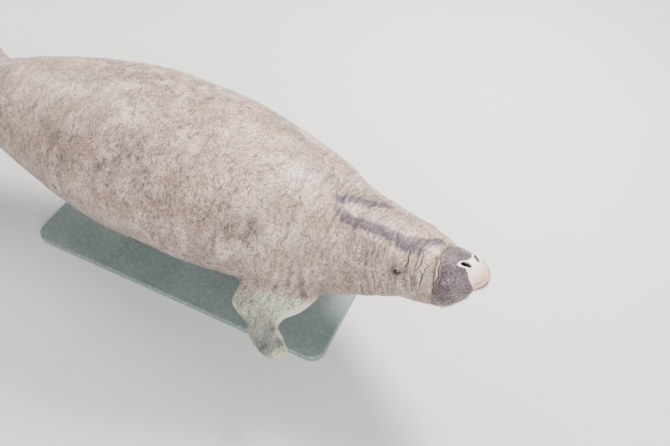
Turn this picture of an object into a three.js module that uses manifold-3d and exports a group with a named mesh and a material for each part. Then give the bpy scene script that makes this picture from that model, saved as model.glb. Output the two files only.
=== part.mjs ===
// A life-size Florida manatee as a museum shows it: nose lifted as if to breathe, back
// level and tail drooping, held over a flat board by two short rods.
// Millimetres, +X towards the nose, +Y the animal's left, +Z up. The origin is the middle
// of the board's underside.
import * as THREE from "three";
import { mergeVertices } from "three/addons/utils/BufferGeometryUtils.js";
import Module from "manifold-3d";

const wasm = await Module();
wasm.setup();

// Driving dimensions. "Along" is the distance from the nose, measured on the spine.
const LENGTH = 3000; // nose to tail tip, an average adult
const ANCHOR = 1280; // along: the point of the spine that stands over the origin
const SPINE_HEIGHT = 575; // of that point, above the floor
const TOUCH = 0.3; // the gap kept between pieces that touch
const AROUND = 36; // corners of a ring of the body
const NOSE_ROUND = 58; // along: where the blunt front of the nose has opened out
const NOSE_POWER = 2.6;
const UNDERCUT = { slope: 0.5, reach: 100 }; // how the front of the lips falls back
const TAIL_ROUND = 2740; // along: where the paddle starts to close
const TAIL_POWER = 2.15;
const PADDLE_EDGE = 0.25; // the share of its thickness that the paddle keeps at its end

// Where the spine's direction is known: along, yaw, pitch and roll in degrees. Yaw is
// positive to the left, pitch nose up, and roll left side up.
const BENDS = [
  [0, -21, 15, -18],
  [110, -16, 16, -17],
  [260, -4, 15, -13.5],
  [420, -1.7, 13.6, -12.3],
  [700, -1, -9.3, -9.8],
  [1100, -0.3, -5.6, -7.4],
  [1500, 0, 0, -4.9],
  [2000, -1.5, 3, -2.5],
  [2500, -3, 6, 0],
  [3000, -3, 6, 0],
];

// The body's rings: along, half width, height over the spine, depth under it, power of
// the curve above and below (2 is an ellipse), and how much wider the lower half is.
const RINGS = [
  [0, 84, 52, 72, 2.2, 2.6, 0.14],
  [40, 91, 58, 82, 2.2, 2.8, 0.16],
  [90, 96, 72, 88, 2.1, 2.8, 0.16],
  [140, 96, 80, 90, 2.1, 2.5, 0.12],
  [188, 116, 96, 104, 2.1, 2.3, 0.06],
  [250, 140, 112, 127, 2.1, 2.2, 0.04],
  [330, 168, 138, 152, 2.1, 2.1, 0.03],
  [430, 203, 173, 175, 2, 2, 0.02],
  [560, 247, 205, 205, 2, 2, 0.02],
  [700, 303, 239, 241, 2, 2, 0.02],
  [900, 342, 271, 271, 2, 2.1, 0.02],
  [1150, 372, 298, 289, 2, 2.2, 0.02],
  [1400, 372, 299, 292, 2, 2.2, 0.02],
  [1650, 345, 279, 271, 2, 2.1, 0.02],
  [1900, 290, 235, 226, 2, 2, 0],
  [2100, 236, 189, 182, 2, 2, 0],
  [2250, 198, 144, 140, 2, 2, 0],
  [2380, 190, 104, 102, 1.9, 1.9, 0],
  [2500, 226, 76, 72, 1.8, 1.8, 0],
  [2650, 284, 52, 48, 1.7, 1.7, 0],
  [2800, 312, 36, 32, 1.6, 1.6, 0],
  [2900, 314, 26, 22, 1.6, 1.6, 0],
  [3000, 314, 18, 16, 1.6, 1.6, 0],
];

// Distances between rings: from, to, spacing.
const SPACING = [
  [NOSE_ROUND, 190, 14],
  [190, 450, 20],
  [450, 610, 32],
  [610, 2200, 79.5],
  [2200, TAIL_ROUND, 54],
];
const END_RINGS = 7; // rings that round each end off

// Skin folds across the body: along, lean back per half turn down, depth, half width,
// and the share of that depth on the back, the sides and the belly.
const FOLDS = [
  [147, -28, 8, 9, 1, 1, 0.3],
  [210, -10, 5, 8, 0.5, 1, 0.2],
  [238, -6, 4, 8, 0.2, 1, 0.3],
  [385, -20, 4, 16, 0.3, 0.8, 1],
  [455, -14, 5, 20, 0.4, 0.8, 1],
  [545, -10, 4, 22, 0.2, 0.7, 1],
];

// Swellings and hollows of the head, as pairs: along, across, over the spine, reach, and
// the push forwards, outwards and upwards.
const SWELLS = [
  [50, 28, 62, 34, 0, 0, 9], // the pad that carries each nostril
  [84, 96, -66, 48, 0, 7, -24], // the lip that hangs beside the mouth
  [26, 54, -38, 40, 14, 6, -2], // the bristly pad at the front of each lip
  [8, 0, -30, 24, -9, 0, 0], // the groove down the middle of the disc
  [16, 0, -66, 22, -12, 0, 8], // the notch between the two lips
  [92, 0, 82, 30, 0, 0, -5], // the dip behind the nostrils
  [258, 132, 56, 34, 0, 5, 5], // the brow
  [262, 138, -40, 60, 0, 12, 0], // the cheek
];

// The nostrils: an oval hole, turned outwards at the back by so many degrees, in a low rim.
const NOSTRIL = { along: 47, across: 27, length: 18, width: 9.5, depth: 26, turn: 27, rim: 11, rise: 3 };

// The eyes: so many degrees round the ring from the side, a ball sunk in its socket behind
// an oval slit in low lids.
const EYE = { along: 262, around: 17, radius: 11, sunk: 6.5, lid: 12, rise: 5 };
const EYE_SLIT = { length: 12, height: 7.5, depth: 14, out: 2 };

// Where the body is parted: the rear end of each length, along the spine.
const CUTS = { muzzle: 170, head: 400, neck: 515, chest: 1150, belly: 2150, tail_stock: 2420 };

// The lower jaw: along, half width, middle under the spine, height over and depth under it.
const JAW = [
  [78, 46, 92, 28, 32],
  [108, 66, 94, 38, 44],
  [150, 80, 94, 44, 52],
  [210, 96, 92, 48, 60],
  [275, 108, 84, 50, 66],
  [350, 96, 70, 44, 56],
];
const JAW_FRONT = 78;
const JAW_BACK = 350;
const JAW_POINT = 12; // how far its rear point lies past the last ring
const JAW_ROUND = 34; // how far its front takes to open out
const JAW_POWER = 2.3; // of its section's curve
const JAW_RINGS = 12;
const JAW_CROWD = 1.5; // over 1 sets the rings closer at the front
const JAW_AROUND = 24;

// The flipper, on the ring at this distance. Its path is given outwards, up and back from
// its root; each row is the share of its length, the half chord, the half thickness and
// how far the chord is set towards the trailing edge.
const FLIPPER_ROOT = { along: 636, across: 176, over: -96 };
const FLIPPER_PATH = [
  [0, 0, 0],
  [84, -38, 18],
  [152, -78, 36],
  [211, -116, 19],
  [228, -146, -26],
  [245, -166, -82],
];
const FLIPPER_ROWS = [
  [0, 118, 64, 6],
  [0.25, 118, 50, 28],
  [0.42, 108, 37, 44],
  [0.53, 98, 29, 48],
  [0.64, 56, 24, 14],
  [0.78, 52, 19, 10],
  [0.9, 45, 15, 10],
  [1, 46, 11, 0],
];
const FLIPPER_TILT = 16; // degrees: the leading edge's drop
const FLIPPER_RINGS = 22;
const FLIPPER_AROUND = 18;
const FLIPPER_POWER = 1.8; // of its section's curve
const FLIPPER_ROUND = 0.86; // the share of its length where the tip starts to close
const FLIPPER_CROWD = 0.7; // the share of its rings before that
const FLIPPER_TIP_POWER = 2.2;
const FLIPPER_EDGE = 0.4; // the share of its thickness that the tip keeps

// The nails: places across the tip as shares of the half chord, the share of the flipper's
// length at which the middle one sits, and how far the outer ones fall back.
const NAIL = { length: 13, width: 7, thick: 4.6, across: [-0.6, -0.05, 0.5], at: 0.962, fall: 0.1 };

// The stand: a flat board, and two rods with a flange each, placed along the spine.
const BOARD = { length: 1500, width: 640, thick: 36, corner: 60, bevel: 5 };
const ROD = { radius: 26, places: [900, 1780] };
const FLANGE = { radius: 72, height: 14, slope: 6 };

const COLOURS = {
  skin: [0x9a877c, 0.62, 0],
  muzzle: [0x6f6567, 0.5, 0],
  eye: [0x14100e, 0.08, 0],
  nail: [0xb9ab94, 0.4, 0],
  board: [0x5b6a66, 0.45, 0],
  steel: [0xb9bcbd, 0.32, 1],
};

const radians = THREE.MathUtils.degToRad;

// A smooth curve through column number `column` of a table, which never overshoots.
function smooth(table, column, at) {
  let i = 0;
  while (i < table.length - 2 && at >= table[i + 1][0]) i++;
  const slope = (k) => (table[k + 1][column] - table[k][column]) / (table[k + 1][0] - table[k][0]);
  const tangent = (k) => {
    if (k === 0) return slope(0);
    if (k === table.length - 1) return slope(k - 1);
    const [a, b] = [slope(k - 1), slope(k)];
    return a * b <= 0 ? 0 : (2 * a * b) / (a + b);
  };
  const span = table[i + 1][0] - table[i][0];
  const t = THREE.MathUtils.clamp((at - table[i][0]) / span, 0, 1);
  const [p, q, m, n] = [table[i][column], table[i + 1][column], tangent(i), tangent(i + 1)];
  return (
    (2 * t ** 3 - 3 * t ** 2 + 1) * p +
    (t ** 3 - 2 * t ** 2 + t) * span * m +
    (3 * t ** 2 - 2 * t ** 3) * q +
    (t ** 3 - t ** 2) * span * n
  );
}

// The direction of the spine and the body's own left and up at a distance along it.
function axesAt(along) {
  const [yaw, pitch, roll] = [1, 2, 3].map((column) => radians(smooth(BENDS, column, along)));
  const forward = new THREE.Vector3(
    Math.cos(pitch) * Math.cos(yaw),
    Math.cos(pitch) * Math.sin(yaw),
    Math.sin(pitch),
  );
  const left = new THREE.Vector3(-Math.sin(yaw), Math.cos(yaw), 0).applyAxisAngle(forward, roll);
  return { forward, left, up: new THREE.Vector3().crossVectors(forward, left) };
}

const SPINE_STEP = 2;
const spinePoints = [new THREE.Vector3()];
for (let along = 0; along < LENGTH; along += SPINE_STEP) {
  const back = axesAt(along + SPINE_STEP / 2).forward.multiplyScalar(-SPINE_STEP);
  spinePoints.push(spinePoints.at(-1).clone().add(back));
}
const anchorShift = spinePoints[ANCHOR / SPINE_STEP].clone().negate().setZ(0);
anchorShift.z = SPINE_HEIGHT - spinePoints[ANCHOR / SPINE_STEP].z;

function spineAt(along) {
  const place = THREE.MathUtils.clamp(along / SPINE_STEP, 0, spinePoints.length - 1);
  const low = Math.min(Math.floor(place), spinePoints.length - 2);
  return spinePoints[low].clone().lerp(spinePoints[low + 1], place - low).add(anchorShift);
}

// A point given by its distance along the spine, to the left of it and over it.
function place(along, across, over) {
  const { left, up } = axesAt(along);
  return spineAt(along).addScaledVector(left, across).addScaledVector(up, over);
}

const power = (value, n) => Math.sign(value) * Math.abs(value) ** (2 / n);

// How far each end has opened out: 0 at the tip and 1 past the rounded stretch.
function opening(along) {
  const near = Math.max(0, 1 - along / NOSE_ROUND);
  const far = Math.max(0, (along - TAIL_ROUND) / (LENGTH - TAIL_ROUND));
  return {
    nose: Math.max(0, 1 - near ** NOSE_POWER) ** (1 / NOSE_POWER),
    tail: Math.max(0, 1 - far ** TAIL_POWER) ** (1 / TAIL_POWER),
  };
}

// The depth of the skin folds at a place, taken off its distance from the spine.
function foldDepth(along, turn) {
  const [sine, cosine] = [Math.sin(turn), Math.cos(turn)];
  return FOLDS.reduce((sum, [at, lean, depth, width, back, side, belly]) => {
    const share =
      back * Math.max(0, sine) ** 2 + side * cosine ** 2 + belly * Math.max(0, -sine) ** 2;
    const off = (along - at - (lean * (1 - sine)) / 2) / width;
    return sum + depth * share * Math.exp(-off * off);
  }, 0);
}

const swells = SWELLS.flatMap(([along, across, over, reach, forwards, outwards, upwards]) =>
  (across === 0 ? [1] : [1, -1]).map((side) => {
    const { forward, left, up } = axesAt(along);
    const push = forward.multiplyScalar(forwards);
    push.addScaledVector(left, side * outwards).addScaledVector(up, upwards);
    return { centre: place(along, side * across, over), reach, push };
  }),
);

// Pushes a point by every swelling near it.
function swell(point) {
  const moved = point.clone();
  for (const { centre, reach, push } of swells) {
    const share = Math.exp(-((point.distanceTo(centre) / reach) ** 2));
    if (share > 1e-3) moved.addScaledVector(push, share);
  }
  return moved;
}

// A point of the skin, `grow` outside it.
function skinPoint(along, turn, grow) {
  const [width, above, below, high, low, jowl] = [1, 2, 3, 4, 5, 6].map((c) => smooth(RINGS, c, along));
  const [sine, cosine] = [Math.sin(turn), Math.cos(turn)];
  const n = sine >= 0 ? high : low;
  const { nose, tail } = opening(along);
  const flat = tail < 1 ? PADDLE_EDGE + (1 - PADDLE_EDGE) * tail : 1;
  let across = power(cosine, n) * width * (1 + jowl * Math.max(0, -sine)) * nose * tail;
  let over = power(sine, n) * (sine >= 0 ? above : below) * nose * flat;
  const radius = Math.hypot(across, over);
  if (radius > 1) {
    const scale = (radius - foldDepth(along, turn) + grow) / radius;
    across *= scale;
    over *= scale;
  }
  const back = UNDERCUT.slope * Math.max(0, -over) * Math.exp(-((along / UNDERCUT.reach) ** 2));
  return swell(place(along + back, across, over));
}

// A closed shell through rings of points, with a pole at each end.
function loft(rings, first, last) {
  const corners = rings[0].length;
  const points = [first, ...rings.flat(), last];
  const at = (ring, corner) => 1 + ring * corners + (corner % corners);
  const faces = [];
  for (let j = 0; j < corners; j++) {
    faces.push(0, at(0, j), at(0, j + 1));
    for (let i = 0; i < rings.length - 1; i++) {
      faces.push(at(i, j), at(i + 1, j), at(i + 1, j + 1));
      faces.push(at(i, j), at(i + 1, j + 1), at(i, j + 1));
    }
    faces.push(at(rings.length - 1, j), points.length - 1, at(rings.length - 1, j + 1));
  }
  const geometry = new THREE.BufferGeometry();
  const numbers = points.flatMap((point) => point.toArray());
  geometry.setAttribute("position", new THREE.Float32BufferAttribute(numbers, 3));
  geometry.setIndex(faces);
  return geometry;
}

// A three.js shape as a solid for joining and cutting.
function solid(geometry) {
  const plain = new THREE.BufferGeometry();
  const source = geometry.index ? geometry.toNonIndexed() : geometry;
  plain.setAttribute("position", source.getAttribute("position"));
  const merged = mergeVertices(plain, 1e-4);
  return new wasm.Manifold(
    new wasm.Mesh({
      numProp: 3,
      vertProperties: merged.getAttribute("position").array,
      triVerts: new Uint32Array(merged.index.array),
    }),
  );
}

// The largest closed body of a solid, back as a three.js shape.
function shape(made) {
  const pieces = made.decompose().sort((a, b) => b.volume() - a.volume());
  const mesh = pieces[0].getMesh();
  const geometry = new THREE.BufferGeometry();
  geometry.setAttribute("position", new THREE.BufferAttribute(mesh.vertProperties.slice(), 3));
  geometry.setIndex(new THREE.BufferAttribute(mesh.triVerts.slice(), 1));
  return geometry;
}

function ringPlaces() {
  const places = [];
  for (let k = 1; k < END_RINGS; k++) {
    places.push(NOSE_ROUND * (1 - Math.cos((k / END_RINGS) * (Math.PI / 2))));
  }
  for (const [from, to, step] of SPACING) {
    const count = Math.round((to - from) / step);
    for (let k = 0; k < count; k++) places.push(from + ((to - from) * k) / count);
  }
  for (let k = 0; k < END_RINGS; k++) {
    places.push(TAIL_ROUND + (LENGTH - TAIL_ROUND) * Math.sin((k / END_RINGS) * (Math.PI / 2)));
  }
  return places;
}

function bodyShape(grow) {
  const rings = ringPlaces().map((along) =>
    Array.from({ length: AROUND }, (_, j) => skinPoint(along, (2 * Math.PI * j) / AROUND, grow)),
  );
  const front = skinPoint(0, 0, 0).addScaledVector(axesAt(0).forward, grow);
  const back = skinPoint(LENGTH, 0, 0).addScaledVector(axesAt(LENGTH).forward, -grow);
  return loft(rings, front, back);
}

// The lower jaw, `grow` outside its own surface.
function jawShape(grow) {
  const ring = (along) => {
    const [width, under, above, below] = [1, 2, 3, 4].map((c) => smooth(JAW, c, along));
    const near = Math.max(0, 1 - (along - JAW_FRONT) / JAW_ROUND);
    const open = Math.sqrt(1 - near ** 2);
    return Array.from({ length: JAW_AROUND }, (_, j) => {
      const turn = (2 * Math.PI * j) / JAW_AROUND;
      const high = Math.sin(turn) >= 0 ? above : below;
      const across = power(Math.cos(turn), JAW_POWER) * (width * open + grow);
      const over = power(Math.sin(turn), JAW_POWER) * (high * open + grow);
      return place(along, across, over - under);
    });
  };
  const rings = Array.from({ length: JAW_RINGS }, (_, i) =>
    ring(JAW_FRONT + (JAW_BACK - JAW_FRONT) * ((i + 1) / JAW_RINGS) ** JAW_CROWD),
  );
  const tip = place(JAW_FRONT, 0, -smooth(JAW, 2, JAW_FRONT));
  tip.addScaledVector(axesAt(JAW_FRONT).forward, grow);
  return loft(rings, tip, place(JAW_BACK + JAW_POINT, 0, -smooth(JAW, 2, JAW_BACK)));
}

// A flipper and the frame that its nails need. side is 1 for the left one and -1 for the right.
function flipper(side) {
  const { forward, left, up } = axesAt(FLIPPER_ROOT.along);
  const outwards = left.clone().multiplyScalar(side);
  const root = place(FLIPPER_ROOT.along, side * FLIPPER_ROOT.across, FLIPPER_ROOT.over);
  const curve = new THREE.CatmullRomCurve3(
    FLIPPER_PATH.map(([out, over, back]) =>
      root.clone().addScaledVector(outwards, out).addScaledVector(up, over).addScaledVector(forward, -back),
    ),
  );
  const frameAt = (share) => {
    const middle = curve.getPointAt(share);
    const along = curve.getTangentAt(share);
    const chord = forward.clone().applyAxisAngle(outwards, side * radians(FLIPPER_TILT));
    chord.addScaledVector(along, -chord.dot(along)).normalize();
    const normal = new THREE.Vector3().crossVectors(chord, along).multiplyScalar(side);
    return { middle, chord, normal };
  };
  const row = (share) => {
    const [chord, thick, back] = [1, 2, 3].map((c) => smooth(FLIPPER_ROWS, c, share));
    const far = Math.max(0, (share - FLIPPER_ROUND) / (1 - FLIPPER_ROUND));
    const open = Math.sqrt(Math.max(0, 1 - far ** FLIPPER_TIP_POWER));
    return { chord: chord * open, thick: thick * (FLIPPER_EDGE + (1 - FLIPPER_EDGE) * open), back };
  };
  const point = (share, turn) => {
    const { middle, chord, normal } = frameAt(share);
    const size = row(share);
    return middle
      .addScaledVector(chord, power(Math.cos(turn), FLIPPER_POWER) * size.chord - size.back)
      .addScaledVector(normal, power(Math.sin(turn), FLIPPER_POWER) * size.thick);
  };
  const shares = Array.from({ length: FLIPPER_RINGS }, (_, i) => {
    const t = i / FLIPPER_RINGS;
    if (t < FLIPPER_CROWD) return (t / FLIPPER_CROWD) * FLIPPER_ROUND;
    const past = (t - FLIPPER_CROWD) / (1 - FLIPPER_CROWD);
    return FLIPPER_ROUND + (1 - FLIPPER_ROUND) * Math.sin(past * (Math.PI / 2));
  });
  const step = (side * 2 * Math.PI) / FLIPPER_AROUND;
  const rings = shares.map((share) =>
    Array.from({ length: FLIPPER_AROUND }, (_, j) => point(share, j * step)),
  );
  return { geometry: loft(rings, frameAt(0).middle, frameAt(1).middle), frameAt, row };
}

// The nails on the upper face of a flipper's tip: a flattened egg each, half in the skin.
function nails(made) {
  return NAIL.across.map((share) => {
    const at = NAIL.at - NAIL.fall * share ** 2;
    const { middle, chord, normal } = made.frameAt(at);
    const size = made.row(at);
    const tip = made.frameAt(Math.min(1, at + 0.05)).middle.sub(middle).normalize();
    const wide = chord.clone().addScaledVector(tip, -chord.dot(tip)).normalize();
    const height = size.thick * (1 - Math.abs(share) ** FLIPPER_POWER) ** (1 / FLIPPER_POWER);
    middle.addScaledVector(chord, size.chord * share).addScaledVector(normal, height);
    return egg(middle, tip, wide, [NAIL.length, NAIL.width, NAIL.thick], [10, 6]);
  });
}

// An egg with its long axis along `long`, its middle axis along `wide`.
function egg(centre, long, wide, sizes, detail = [14, 10]) {
  const third = new THREE.Vector3().crossVectors(long, wide);
  const basis = new THREE.Matrix4().makeBasis(long, wide, third);
  basis.scale(new THREE.Vector3(...sizes)).setPosition(centre);
  return solid(new THREE.SphereGeometry(1, ...detail).applyMatrix4(basis));
}

// The outermost point of the skin in a direction from the spine, and its outward normal.
function surface(along, turn) {
  const here = skinPoint(along, turn, 0);
  const alongEdge = skinPoint(along + 6, turn, 0).sub(skinPoint(along - 6, turn, 0));
  const roundEdge = skinPoint(along, turn + 0.05, 0).sub(skinPoint(along, turn - 0.05, 0));
  return { here, normal: new THREE.Vector3().crossVectors(alongEdge, roundEdge).normalize() };
}

function nostrils(side) {
  const turn = Math.PI / 2 - side * Math.asin(NOSTRIL.across / smooth(RINGS, 1, NOSTRIL.along));
  const { here, normal } = surface(NOSTRIL.along, turn);
  const { forward, left } = axesAt(NOSTRIL.along);
  const angle = radians(NOSTRIL.turn);
  const long = forward.clone().multiplyScalar(Math.cos(angle));
  long.addScaledVector(left, -side * Math.sin(angle));
  long.addScaledVector(normal, -long.dot(normal)).normalize();
  const wide = new THREE.Vector3().crossVectors(normal, long);
  const sunk = here.clone().addScaledVector(normal, -NOSTRIL.rise);
  const spread = [NOSTRIL.length + NOSTRIL.rim, NOSTRIL.width + NOSTRIL.rim, 2 * NOSTRIL.rise];
  return {
    rim: egg(sunk, long, wide, spread, [20, 10]),
    hole: egg(here, long, wide, [NOSTRIL.length, NOSTRIL.width, NOSTRIL.depth], [16, 10]),
  };
}

function eye(side) {
  const turn = side > 0 ? radians(EYE.around) : Math.PI - radians(EYE.around);
  const { here, normal } = surface(EYE.along, turn);
  const { forward } = axesAt(EYE.along);
  const long = forward.clone().addScaledVector(normal, -forward.dot(normal)).normalize();
  const wide = new THREE.Vector3().crossVectors(normal, long);
  const at = (out) => here.clone().addScaledVector(normal, out);
  const round = (r) => egg(at(-EYE.sunk), long, wide, [r, r, r], [16, 10]);
  const spread = [EYE.radius + EYE.lid, EYE.radius + 0.6 * EYE.lid, 2 * EYE.rise];
  const almond = [EYE_SLIT.length, EYE_SLIT.height, EYE_SLIT.depth];
  return {
    ball: round(EYE.radius),
    socket: round(EYE.radius + TOUCH),
    lids: egg(at(-EYE.rise), long, wide, spread, [18, 10]),
    slit: egg(at(EYE_SLIT.out), long, wide, almond, [14, 8]),
  };
}

// Parts a solid at a distance along the spine, leaving the touching gap.
function part(whole, along) {
  const { forward } = axesAt(along);
  const at = forward.dot(spineAt(along));
  const back = forward.clone().negate();
  return [
    whole.trimByPlane(forward.toArray(), at + TOUCH / 2),
    whole.trimByPlane(back.toArray(), -at + TOUCH / 2),
  ];
}

function board() {
  const half = BOARD.length / 2 - BOARD.bevel;
  const side = BOARD.width / 2 - BOARD.bevel;
  const { corner } = BOARD;
  const outline = new THREE.Shape();
  outline.moveTo(half - corner, -side).absarc(half - corner, -side + corner, corner, -Math.PI / 2, 0);
  outline.absarc(half - corner, side - corner, corner, 0, Math.PI / 2);
  outline.absarc(-half + corner, side - corner, corner, Math.PI / 2, Math.PI);
  outline.absarc(-half + corner, -side + corner, corner, Math.PI, 1.5 * Math.PI);
  const plate = new THREE.ExtrudeGeometry(outline, {
    depth: BOARD.thick - 2 * BOARD.bevel,
    bevelEnabled: true,
    bevelSize: BOARD.bevel,
    bevelThickness: BOARD.bevel,
    bevelSegments: 1,
    curveSegments: 6,
  });
  return plate.translate(0, 0, BOARD.bevel);
}

const model = new THREE.Group();
function add(name, geometry, colour) {
  const [color, roughness, metalness] = COLOURS[colour];
  const mesh = new THREE.Mesh(geometry, new THREE.MeshStandardMaterial({ color, roughness, metalness }));
  mesh.name = name;
  model.add(mesh);
}

// The body, whole, then parted from the nose back.
const body = solid(bodyShape(0));
const bodyGrown = solid(bodyShape(TOUCH + 0.2));
let rest = body;
const lengths = {};
for (const [name, along] of Object.entries(CUTS)) {
  [lengths[name], rest] = part(rest, along);
}
lengths.tail_paddle = rest;

for (const side of [1, -1]) {
  const { rim, hole } = nostrils(side);
  lengths.muzzle = lengths.muzzle.add(rim).subtract(hole);
  const { ball, socket, lids, slit } = eye(side);
  lengths.head = lengths.head.add(lids).subtract(socket).subtract(slit);
  add(side > 0 ? "left_eye" : "right_eye", shape(ball), "eye");
}
for (const [name, made] of Object.entries(lengths)) {
  add(name, shape(made), name === "muzzle" ? "muzzle" : "skin");
}

add("lower_jaw", shape(solid(jawShape(0)).subtract(bodyGrown)), "muzzle");

for (const side of [1, -1]) {
  const name = side > 0 ? "left" : "right";
  const made = flipper(side);
  const limb = solid(made.geometry).subtract(bodyGrown);
  add(`${name}_flipper`, shape(limb), "skin");
  nails(made).forEach((nail, k) => {
    add(`${name}_nail_${k + 1}`, shape(nail.subtract(solid(made.geometry))), "nail");
  });
}

add("stand_board", board(), "board");
ROD.places.forEach((along, k) => {
  const over = spineAt(along);
  const name = k === 0 ? "front" : "rear";
  const foot = BOARD.thick + TOUCH;
  const { radius, height, slope } = FLANGE;
  const flange = new THREE.CylinderGeometry(radius - slope, radius, height, 32);
  flange.rotateX(Math.PI / 2).translate(over.x, 0, foot + height / 2);
  add(`stand_flange_${name}`, flange, "steel");
  const low = foot + height + TOUCH;
  const rod = new THREE.CylinderGeometry(ROD.radius, ROD.radius, over.z - low, 24);
  rod.rotateX(Math.PI / 2).translate(over.x, 0, (over.z + low) / 2);
  add(`stand_rod_${name}`, shape(solid(rod).subtract(bodyGrown)), "steel");
});

export default model;
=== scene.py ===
"""A life-size manatee on its display stand: hide, eyes, nails, bristles and the stand.

Sizes are in millimetres, as a model maker keeps them, and become metres in the meshes.
"""

import logging
import math
from dataclasses import dataclass, field
from enum import Enum

import bmesh
import bpy
import numpy as np
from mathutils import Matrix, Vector, noise
from mathutils.kdtree import KDTree


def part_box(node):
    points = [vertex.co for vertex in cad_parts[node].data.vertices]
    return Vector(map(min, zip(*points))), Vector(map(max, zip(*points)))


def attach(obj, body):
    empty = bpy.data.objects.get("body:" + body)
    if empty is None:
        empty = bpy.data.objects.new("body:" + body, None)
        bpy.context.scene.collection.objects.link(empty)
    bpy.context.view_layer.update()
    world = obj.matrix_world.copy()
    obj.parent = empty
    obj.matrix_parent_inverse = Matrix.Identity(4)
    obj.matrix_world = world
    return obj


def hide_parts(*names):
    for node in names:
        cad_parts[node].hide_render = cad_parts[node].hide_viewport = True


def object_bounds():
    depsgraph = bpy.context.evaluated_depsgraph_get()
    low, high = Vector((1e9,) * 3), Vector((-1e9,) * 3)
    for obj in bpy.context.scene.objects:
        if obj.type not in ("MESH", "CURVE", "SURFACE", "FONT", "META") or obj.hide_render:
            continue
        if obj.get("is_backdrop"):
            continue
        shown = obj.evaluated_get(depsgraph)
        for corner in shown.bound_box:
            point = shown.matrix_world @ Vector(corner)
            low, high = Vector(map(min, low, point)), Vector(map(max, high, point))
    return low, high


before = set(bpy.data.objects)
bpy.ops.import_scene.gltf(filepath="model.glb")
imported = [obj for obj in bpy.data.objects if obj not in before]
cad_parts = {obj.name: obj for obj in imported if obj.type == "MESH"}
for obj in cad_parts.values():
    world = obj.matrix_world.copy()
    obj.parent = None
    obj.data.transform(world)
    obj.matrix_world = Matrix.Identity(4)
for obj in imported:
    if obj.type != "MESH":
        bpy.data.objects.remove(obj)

Array = np.ndarray
Rows = tuple[tuple[float, ...], ...]
Triple = tuple[float, float, float]
Colour = Triple

METRES = 0.001
BODY = "root"
BAKE_MAP = "OFBake"
TAU = 2 * math.pi

log = logging.getLogger("manatee")


def curve(rows: Rows, column: int, at: Array) -> Array:
    """A smooth curve through one column of a table, which never overshoots.

    Args:
        rows: the table; its first column is the distance.
        column: the number of the column to follow.
        at: distances, in any shape.

    Returns:
        The column's value at each distance.
    """
    table = np.array(rows, float)
    x, y = table[:, 0], table[:, column]
    slope = np.diff(y) / np.diff(x)
    tangent = np.empty_like(y)
    tangent[0], tangent[-1] = slope[0], slope[-1]
    before, after = slope[:-1], slope[1:]
    same = before * after > 0
    tangent[1:-1] = np.where(same, 2 * before * after / np.where(same, before + after, 1), 0)
    i = np.clip(np.searchsorted(x, at, side="right") - 1, 0, len(x) - 2)
    span = x[i + 1] - x[i]
    t = np.clip((at - x[i]) / span, 0, 1)
    return (
        (2 * t**3 - 3 * t**2 + 1) * y[i]
        + (t**3 - 2 * t**2 + t) * span * tangent[i]
        + (3 * t**2 - 2 * t**3) * y[i + 1]
        + (t**3 - t**2) * span * tangent[i + 1]
    )


def power(value: Array, n: Array | float) -> Array:
    """The superellipse's share of a sine or cosine, with its sign."""
    return np.sign(value) * np.abs(value) ** (2 / n)


def ramp(value: Array, start: float, end: float) -> Array:
    """Rises smoothly from 0 at start to 1 at end."""
    t = np.clip((value - start) / (end - start), 0, 1)
    return t * t * (3 - 2 * t)


def bell(distance: Array, reach: float) -> Array:
    """1 at no distance, falling off over the reach."""
    return np.exp(-((distance / reach) ** 2))


def unit(vectors: Array) -> Array:
    """The vectors, each of length 1."""
    return vectors / np.linalg.norm(vectors, axis=-1, keepdims=True)


def turned(vector: Array, axis: Array, angle: float) -> Array:
    """A vector turned about a unit axis, by an angle in radians."""
    c, s = math.cos(angle), math.sin(angle)
    return vector * c + np.cross(axis, vector) * s + axis * (axis @ vector) * (1 - c)


def drawn(marks: Array, fine: int = 200) -> Array:
    """A smooth curve through points, spaced by the square root of their distances.

    Args:
        marks: the points it passes through.
        fine: how many points it has between two marks.

    Returns:
        Its points.
    """
    ends = np.vstack([2 * marks[0] - marks[1], marks, 2 * marks[-1] - marks[-2]])
    gaps = np.sqrt(np.linalg.norm(np.diff(ends, axis=0), axis=1))
    t = np.linspace(0, 1, fine, endpoint=False)[:, None]
    parts = []
    for k in range(1, len(ends) - 2):
        a, b, c, d = ends[k - 1 : k + 3]
        before, here, after = gaps[k - 1 : k + 2]
        m = ((b - a) / before - (c - a) / (before + here) + (c - b) / here) * here
        n = ((c - b) / here - (d - b) / (here + after) + (d - c) / after) * here
        cubic, square = 2 * b - 2 * c + m + n, -3 * b + 3 * c - 2 * m - n
        parts.append(b + m * t + square * t**2 + cubic * t**3)
    return np.vstack([*parts, marks[-1:]])


def lumps(points: Array, size: float, seed: float) -> Array:
    """Smooth noise from -1 to 1, with bumps of about this size."""
    return np.array([noise.noise(Vector(p)) for p in points / size + seed])


def linear(red: int, green: int, blue: int) -> Colour:
    """A screen colour, 0 to 255, as the light that it stands for."""
    shares = (value / 255 for value in (red, green, blue))
    return tuple(s / 12.92 if s <= 0.04045 else ((s + 0.055) / 1.055) ** 2.4 for s in shares)


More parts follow.
